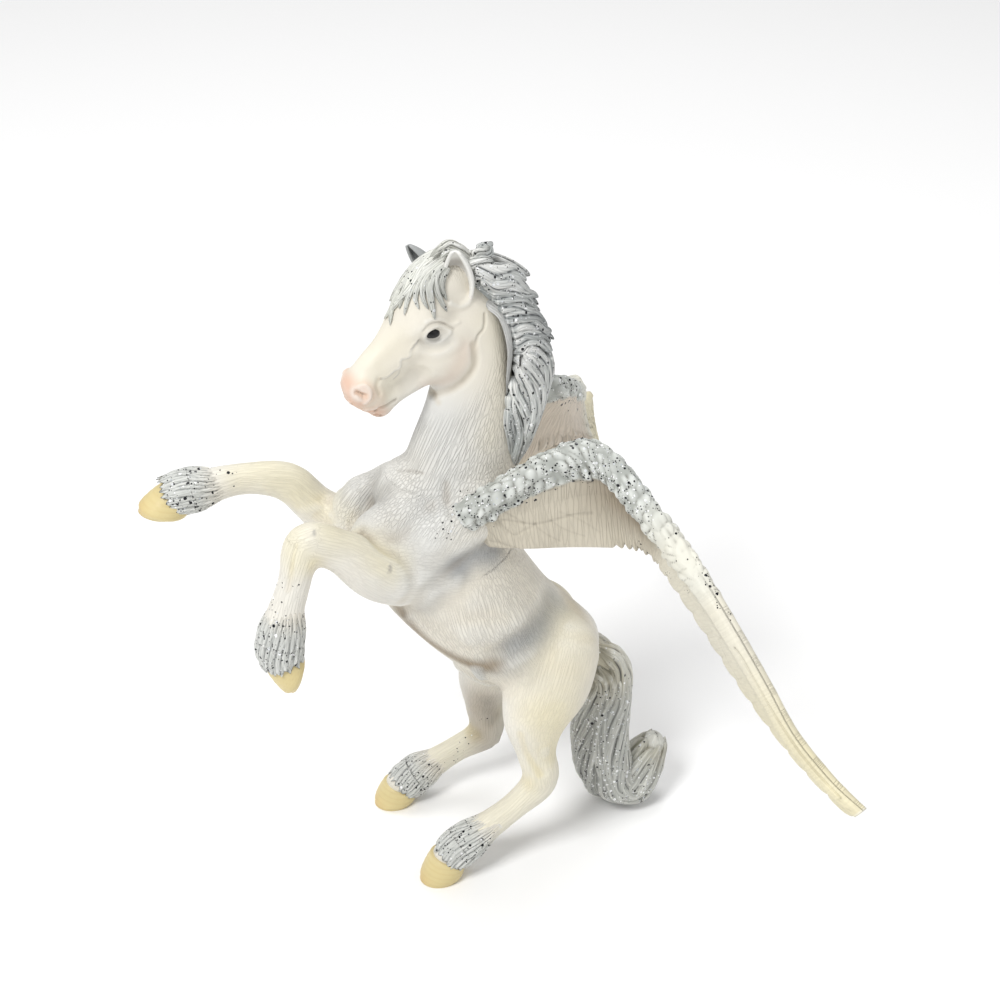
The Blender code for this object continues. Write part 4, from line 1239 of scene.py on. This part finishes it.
# Fetlock hair: a grooved cuff with a jagged lower rim over each hoof; its path, first and fullest radius
cuffShape = {
    "rows": 54, "innerRows": 16, "around": 170, "tufts": 9, "groove": 0.42,
    # hues: base paint, white dry brush and painted highlight for the ridges, dark wash and painted shade
    # for the grooves
    "hues": (tint(216, 218, 213), paints["white"], tint(88, 91, 94)), "glitter": (0.34, 0.20),
    "cuffs": {
        "near_hind": (((8.5, -14, 14.6), (3.0, -14, 10.8), (-1.5, -14, 7.6), (-4.6, -14, 4.6)), 2.8, 4.7),
        "far_hind": (((2.5, 14, 10.9), (-1.5, 14, 8.6), (-5.5, 14, 6.2), (-8.9, 14, 3.6)), 2.8, 4.7),
        "near_fore": (((-35.6, -14, 83.0), (-37.2, -14, 77.5), (-38.6, -14, 71.5), (-38.0, -14, 66.8)),
                      3.0, 5.1),
        "far_fore": (((-42.0, 14, 94.8), (-47.0, 14, 94.2), (-52.0, 14, 93.7), (-57.0, 14, 92.9)),
                     2.9, 4.9),
    },
}


def cuffGrid(path, thin, full, seed):
    # rings along the pastern: out of the leg, swelling over the fetlock, a jagged rim, and back inside
    outer, inner, around = cuffShape["rows"], cuffShape["innerRows"], cuffShape["around"]
    rows = outer + inner
    centre = smoothLine(np.array(path, float), 12)
    t = np.concatenate([np.linspace(0, 1, outer), np.linspace(0.98, 0.72, inner)])
    inside = np.concatenate([np.zeros(outer), ramp(np.arange(inner), 0, 6)])
    phi = np.linspace(0, 2 * np.pi, around, endpoint=False)
    jag, _ = lumps(phi / (2 * np.pi) * cuffShape["tufts"] * 2, np.zeros(around) + 0.5, seed)
    reach = 1 - 0.20 * np.clip(jag, 0, 1)
    share = np.clip(t[:, None] * np.where(t[:, None] > 0.6, reach[None, :], 1), 0, 1)
    place = share * (len(centre) - 1)
    low = np.clip(np.floor(place).astype(int), 0, len(centre) - 2)
    middle = centre[low] + (centre[low + 1] - centre[low]) * (place - low)[..., None]
    tangent = unit(np.gradient(centre, axis=0))[low]
    side = unit(np.array((0, 1.0, 0)) - tangent * tangent[..., 1:2])
    upward = np.cross(tangent, side)
    radius = thin + (full - thin) * ramp(share, 0.0, 0.55) - 0.5 * ramp(share, 0.75, 1.0)
    strand, _ = lumps(phi[None, :] * 5.5 + 1.1 * np.sin(share * 4 + seed), share * 2.4, seed)
    radius = radius - cuffShape["groove"] * ramp(strand, 0.2, 0.8) * ramp(share, 0.02, 0.3)
    radius = radius - inside[:, None] * 1.1
    first = np.clip(np.arange(rows) / 3, 0, 1)[:, None]
    last = np.clip((rows - 1 - np.arange(rows)) / 3, 0.02, 1)[:, None]
    radius = radius * first * last + 0.02
    return middle + side * (radius * np.cos(phi))[..., None] + upward * (radius * np.sin(phi))[..., None]


def makeCuffs():
    seed = 2.0
    for name, (path, thin, full) in cuffShape["cuffs"].items():
        def tones(hair, path=path, name=name):
            # the leg's own paint runs down into the top of the cuff
            top = ramp(np.linalg.norm(hair.points - np.array(path[0]), axis=1), 9.5, 3.5)
            hair.blend(top * 0.9, paints["coat"])
            hair.glitter *= (1 - 0.6 * top)[:, None]
            if "hind" in name:
                hair.points[:, 2] = np.maximum(hair.points[:, 2], 0.15)
        grids = [cuffGrid(path, thin, full, seed)]
        hairPiece("fetlock_" + name, grids, cuffShape["hues"], cuffShape["glitter"], tones, 0.7, 0.8)
        seed += 1.9


makeCuffs()
print("fetlocks made")

# Wings: leading and trailing edge of the left one, and the radius of the bone
wingShape = {
    "lead": ((0.3, -12.5, 94.2), (9.2, -13.5, 99.6), (18.1, -13.8, 104.0), (26.3, -14.5, 105.7),
             (30.8, -17.8, 103.5), (34.9, -24.4, 97.8), (38.9, -33.2, 92.7), (41.7, -42.4, 88.7),
             (44.7, -51.0, 83.0), (47.9, -59.5, 76.2), (51.1, -67.0, 69.2), (55.7, -75.0, 63.4),
             (59.2, -82.8, 61.2)),
    "trail": ((6.0, -12.0, 86.0), (13.5, -14.2, 85.6), (21.5, -16.0, 85.6), (29.4, -19.0, 86.0),
              (34.4, -19.4, 84.8), (38.4, -20.4, 82.8), (40.8, -23.4, 79.6), (43.3, -30.2, 75.8),
              (46.4, -38.3, 70.6), (49.7, -47.2, 65.0), (53.4, -56.6, 60.0), (56.9, -67.0, 56.8),
              (59.2, -79.0, 57.0)),
    "radius": (3.0, 3.0, 3.1, 3.5, 3.3, 3.1, 3.0, 2.8, 2.6, 2.4, 2.2, 2.0, 1.6),
    "edge": 0.5, "rows": 380, "around": 200, "quills": 21, "scallop": 1.5, "wristQuills": 46,
    "tuftSize": 2.3, "tuftHeight": 0.85, "barbFine": 0.85, "barbLong": 9.0, "chord": 22,
    # share of the wing's length where the arm's down gives way to the hand's feathers
    "handFrom": (0.36, 0.48),
    # overlapping feathers seen from above: (start, end, how many, rise, shift), and the same from below
    "above": ((0.60, 1.02, 21, 0.30, 0.0), (0.42, 0.68, 21, 0.40, 0.5), (0.26, 0.50, 24, 0.50, 0.2),
              (0.12, 0.34, 26, 0.55, 0.6)),
    "below": ((0.45, 1.02, 21, 0.22, 0.0), (0.18, 0.55, 18, 0.20, 0.5)),
}

# Outlines pressed into the underside of the arm, and the long feather of the hand, as photographed
wingCreases = (
    (((459, 531), (470, 533), (484, 527), (497, 521), (512, 521), (532, 524), (551, 521),
      (572, 515), (592, 513)),
     0.55, -0.28, 0.45),
    (((497, 521), (505, 528), (514, 535), (523, 531), (535, 525)), 0.5, -0.25, 0.4),
    (((500, 510), (512, 516), (524, 523)), 0.5, -0.2, 0.35),
    (((470, 538), (486, 541), (502, 544), (516, 548)), 0.6, -0.25, 0.4),
    (((484, 527), (492, 534), (500, 543)), 0.45, -0.2, 0.3),
    (((535, 525), (546, 534), (560, 541)), 0.45, -0.2, 0.3),
    (((551, 521), (566, 530), (584, 536)), 0.45, -0.18, 0.28),
    (((560, 512), (580, 520), (600, 532)), 0.45, -0.15, 0.22),
    (((734, 648), (742, 659), (756, 684), (771, 710), (786, 733), (802, 756), (820, 777), (840, 798)),
     0.5, -0.35, 0.85),
    (((718, 640), (728, 662), (744, 690), (760, 716)), 0.5, -0.15, 0.2),
    (((838, 800), (850, 811), (860, 818)), 0.45, -0.2, 0.4),
)
wingFlecks = (
    (((650, 470), (672, 505), (690, 540), (706, 575), (718, 600), (730, 620)), 1.9, 0.42, 0.02),
    (((686, 590), (690, 592)), 1.2, 0.5, 0.0),
    (((760, 715), (776, 738), (800, 770)), 1.2, 0.07, 0.0),
)


def wingGrid():
    # section of each ring: round bone in front, feathers thinning behind; t runs along the wing and
    # q from its leading to its trailing edge, both from 0 to 1
    count, around = wingShape["rows"], wingShape["around"]
    radius = np.array(wingShape["radius"])[:, None]
    rows = wingShape["lead"], wingShape["trail"], radius
    edges = np.column_stack([smoothLine(row, 20) for row in rows])
    edges = resample(edges, count)
    lead, trail, bone = edges[:, :3], edges[:, 3:6], edges[:, 6:7]
    t = np.linspace(0, 1, count)[:, None]
    span = unit(np.gradient(lead, axis=0))
    scallop = wingShape["scallop"]
    steps = 1 - np.abs(np.sin(np.pi * t * wingShape["quills"]))
    notch = scallop * steps ** 1.5 * ramp(t, 0.28, 0.36)
    # shorter feathers at the wrist step more closely
    steps = 1 - np.abs(np.sin(np.pi * t * wingShape["wristQuills"]))
    notch = notch + scallop * steps * ramp(t, 0.24, 0.28) * (1 - ramp(t, 0.42, 0.48))
    full = np.linalg.norm(trail - lead, axis=1, keepdims=True) - notch
    chord = unit(trail - lead)
    thick = unit(np.cross(span, chord))
    turn = np.linspace(0, 2 * np.pi, around, endpoint=False)[None, :]
    along = (1 - np.cos(turn)) / 2 * (full + bone) - bone
    share = np.clip(along / np.maximum(full * 0.40, bone), 0, 1)
    half = bone + (wingShape["edge"] - bone) * share ** 0.6
    side = np.sign(np.sin(turn)) * np.abs(np.sin(turn)) ** 0.55
    run = np.linalg.norm(np.diff(lead, axis=0), axis=1).sum()
    return {"lead": lead, "chord": chord, "thick": thick, "along": along, "half": half, "turn": turn,
            "side": np.broadcast_to(side, along.shape), "q": np.clip(along / full, 0, 1), "bone": bone,
            "t": np.broadcast_to(t, along.shape), "run": run,
            "above": np.broadcast_to((np.sin(turn) > 0) * 1.0, along.shape)}


def featherRows(t, q, rows):
    # overlapping rows: each feather rises to its rounded end and drops to the next; gives height and clefts
    height, cleft = np.zeros(q.shape), np.zeros(q.shape)
    for start, end, number, rise, shift in rows:
        across = np.abs(((t * number + shift) % 1) - 0.5) * 2
        tipLine = end - (end - start) * 0.30 * across ** 2
        inside = (q < tipLine) & (q >= start - 0.03)
        local = np.clip((q - start) / (tipLine - start), 0, 1)
        height = np.where(inside, rise * (0.25 + 0.75 * local), height)
        cleft = np.where(inside, ramp(across, 0.84, 1.0) * ramp(local, 0.15, 0.4), cleft)
    return height, cleft


wingHues = {"base": tint(226, 214, 192), "arm": tint(214, 206, 188), "wristShadow": tint(140, 126, 106),
            "hand": tint(238, 233, 216), "tip": tint(238, 228, 190), "armAbove": tint(228, 216, 202),
            "edge": tint(238, 228, 196), "tufts": tint(222, 225, 220), "tuftGapWashAndShade": tint(134, 138, 130),
            "handBone": tint(240, 237, 222), "cleftShade": tint(150, 136, 116),
            "creases": tint(92, 82, 66), "grooves": tint(88, 82, 70)}


def makeWing(name, sign):
    # height added to each ring point: a band of tufts over the bone, rows of feathers behind it
    w = wingGrid()
    t, q, above = w["t"], w["q"], w["above"]
    arc = t * w["run"]
    girth = w["turn"] * np.maximum(w["bone"], 1.5) * 1.1
    tuft = wingShape["tuftSize"]
    near, dice = lumps(arc / tuft + 0.3 * np.sin(girth * 0.9), girth / tuft * 1.5, 5.0)
    tufts = (1 - ramp(near, 0.10, 0.75)) * (0.35 + 0.8 * dice)
    reach = np.where(above > 0, 0.65, 1.15) + 0.35 * dice + 0.4 * (1 - above) * ramp(t, 0.30, 0.42)
    band = (1 - ramp(w["along"] / w["bone"], reach - 0.35, reach)) * (1 - ramp(t, 0.50, 0.60))
    handPart = ramp(t, *wingShape["handFrom"])
    height, cleft = featherRows(t, q, wingShape["above"])
    under, underCleft = featherRows(t, q, wingShape["below"])
    cleft = np.where(above > 0, cleft, underCleft * 0.3) * handPart
    relief = np.where(above > 0, height - 0.35 * cleft, under * 0.8 - 0.3 * cleft) * handPart
    relief = relief * ramp(q, 0.02, 0.2) * (1 - 0.8 * ramp(q, 0.93, 1.0)) * (1 - band)
    rim = above * ramp(q, 0.62, 0.76) * ramp(t, 0.18, 0.25) * (1 - ramp(t, 0.44, 0.52))
    relief = relief + (band + rim * 1.3) * tufts * wingShape["tuftHeight"]
    front = ramp(-w["along"], -w["bone"] * 0.6, w["bone"])[..., None] * 1.2
    outward = unit(w["side"][..., None] * w["thick"][:, None, :] - w["chord"][:, None, :] * front)
    rings = (w["lead"][:, None, :] + w["along"][..., None] * w["chord"][:, None, :]
             + (w["half"] * w["side"])[..., None] * w["thick"][:, None, :]
             + outward * (relief * (0.35 + 0.65 * np.abs(w["side"])))[..., None])
    mesh, _ = gridMesh(name, [rings])
    feathers = Skin(mesh, wingHues["base"])

    def flat(values):
        # the rings' values in the order of the mesh's points, with the two end points
        return np.concatenate([values.ravel(), values[:1].mean(axis=1), values[-1:].mean(axis=1)])

    spot, depth, upper, bandAt, split = (flat(values) for values in (t, q, above, band, cleft))
    hand = ramp(spot, *wingShape["handFrom"])
    # underside of the arm: beige, darker than the top as painted shade, and brown painted shadow in the
    # corner under the wrist
    feathers.blend((1 - upper) * (1 - hand), wingHues["arm"])
    wristShadow = ramp(spot, 0.16, 0.30) * (1 - ramp(spot, 0.42, 0.5)) * (1 - ramp(depth, 0.35, 0.95))
    feathers.blend((1 - upper) * wristShadow * 0.85, wingHues["wristShadow"])
    feathers.blend(hand, wingHues["hand"])
    feathers.blend(ramp(spot, 0.62, 0.9) * 0.8, wingHues["tip"])
    feathers.blend(upper * (1 - hand) * 0.7, wingHues["armAbove"])
    feathers.blend(upper * ramp(depth, 0.80, 1.0) * 0.8, wingHues["edge"])
    feathers.blend(bandAt, wingHues["tufts"])
    # dark wash and painted shade in the gaps between the tufts
    feathers.blend(bandAt * (1 - hand) * flat(1 - tufts) * 0.55, wingHues["tuftGapWashAndShade"])
    feathers.blend(bandAt * hand * 0.8, wingHues["handBone"])
    # painted shade in the clefts between the feathers
    feathers.blend(0.45 * split * upper, wingHues["cleftShade"])
    specks = bandAt * (1 - ramp(spot, 0.38, 0.46))
    crest = flat(np.exp(-((w["along"] / w["bone"] - 1.0) / 0.5) ** 2)) * (1 - hand)
    feathers.glitter[:, 0] = 0.38 * specks + 0.30 * crest + 0.07 * bandAt * hand
    feathers.glitter[:, 1] = 0.42 * specks
    feathers.growTree()
    for pixels, radius, press, strength in wingCreases:
        path = smoothLine(feathers.trace(pixels), 5)
        faint = 1.0 if strength > 0.6 else 0.5
        feathers.swell(path, radius / faint ** 0.7, press * faint)
        feathers.colour(path, radius * 0.8, wingHues["creases"], strength * faint)
    for pixels, radius, dark, bright in wingFlecks:
        feathers.sprinkle(feathers.trace(pixels), radius, dark, bright)
    feathers.keep()
    # dark wash and painted shade in the grooves, painted white highlight on the ridges
    grooveDepth = hollows(mesh, 1)
    feathers.blend(ramp(grooveDepth, 0.02, 0.22) * 0.7, wingHues["grooves"])
    feathers.blend(ramp(-grooveDepth, 0.05, 0.3) * 0.4, paints["white"])
    feathers.strokes = (1 - bandAt) * np.where(upper > 0, 0.9, 0.75 - 0.4 * hand)
    diagonal = np.abs((flat(t * wingShape["quills"]) % 1) - 0.5) * 2
    slant = spot * w["run"] + np.where(upper > 0, depth * 11.0 + diagonal * 3 * hand, depth * 3.0)
    fine, long = slant / wingShape["barbFine"], depth * wingShape["chord"] / wingShape["barbLong"]
    note(mesh, "barbs", np.column_stack([fine, long, upper * 50]))
    if sign > 0:
        feathers.points = feathers.points * mirrored
        mesh.flip_normals()
    feathers.store()
    addPiece(name, mesh, paintedFinish("painted_" + name, barbs=True))


makeWing("wing_left", -1)
makeWing("wing_right", 1)
print("wings made")
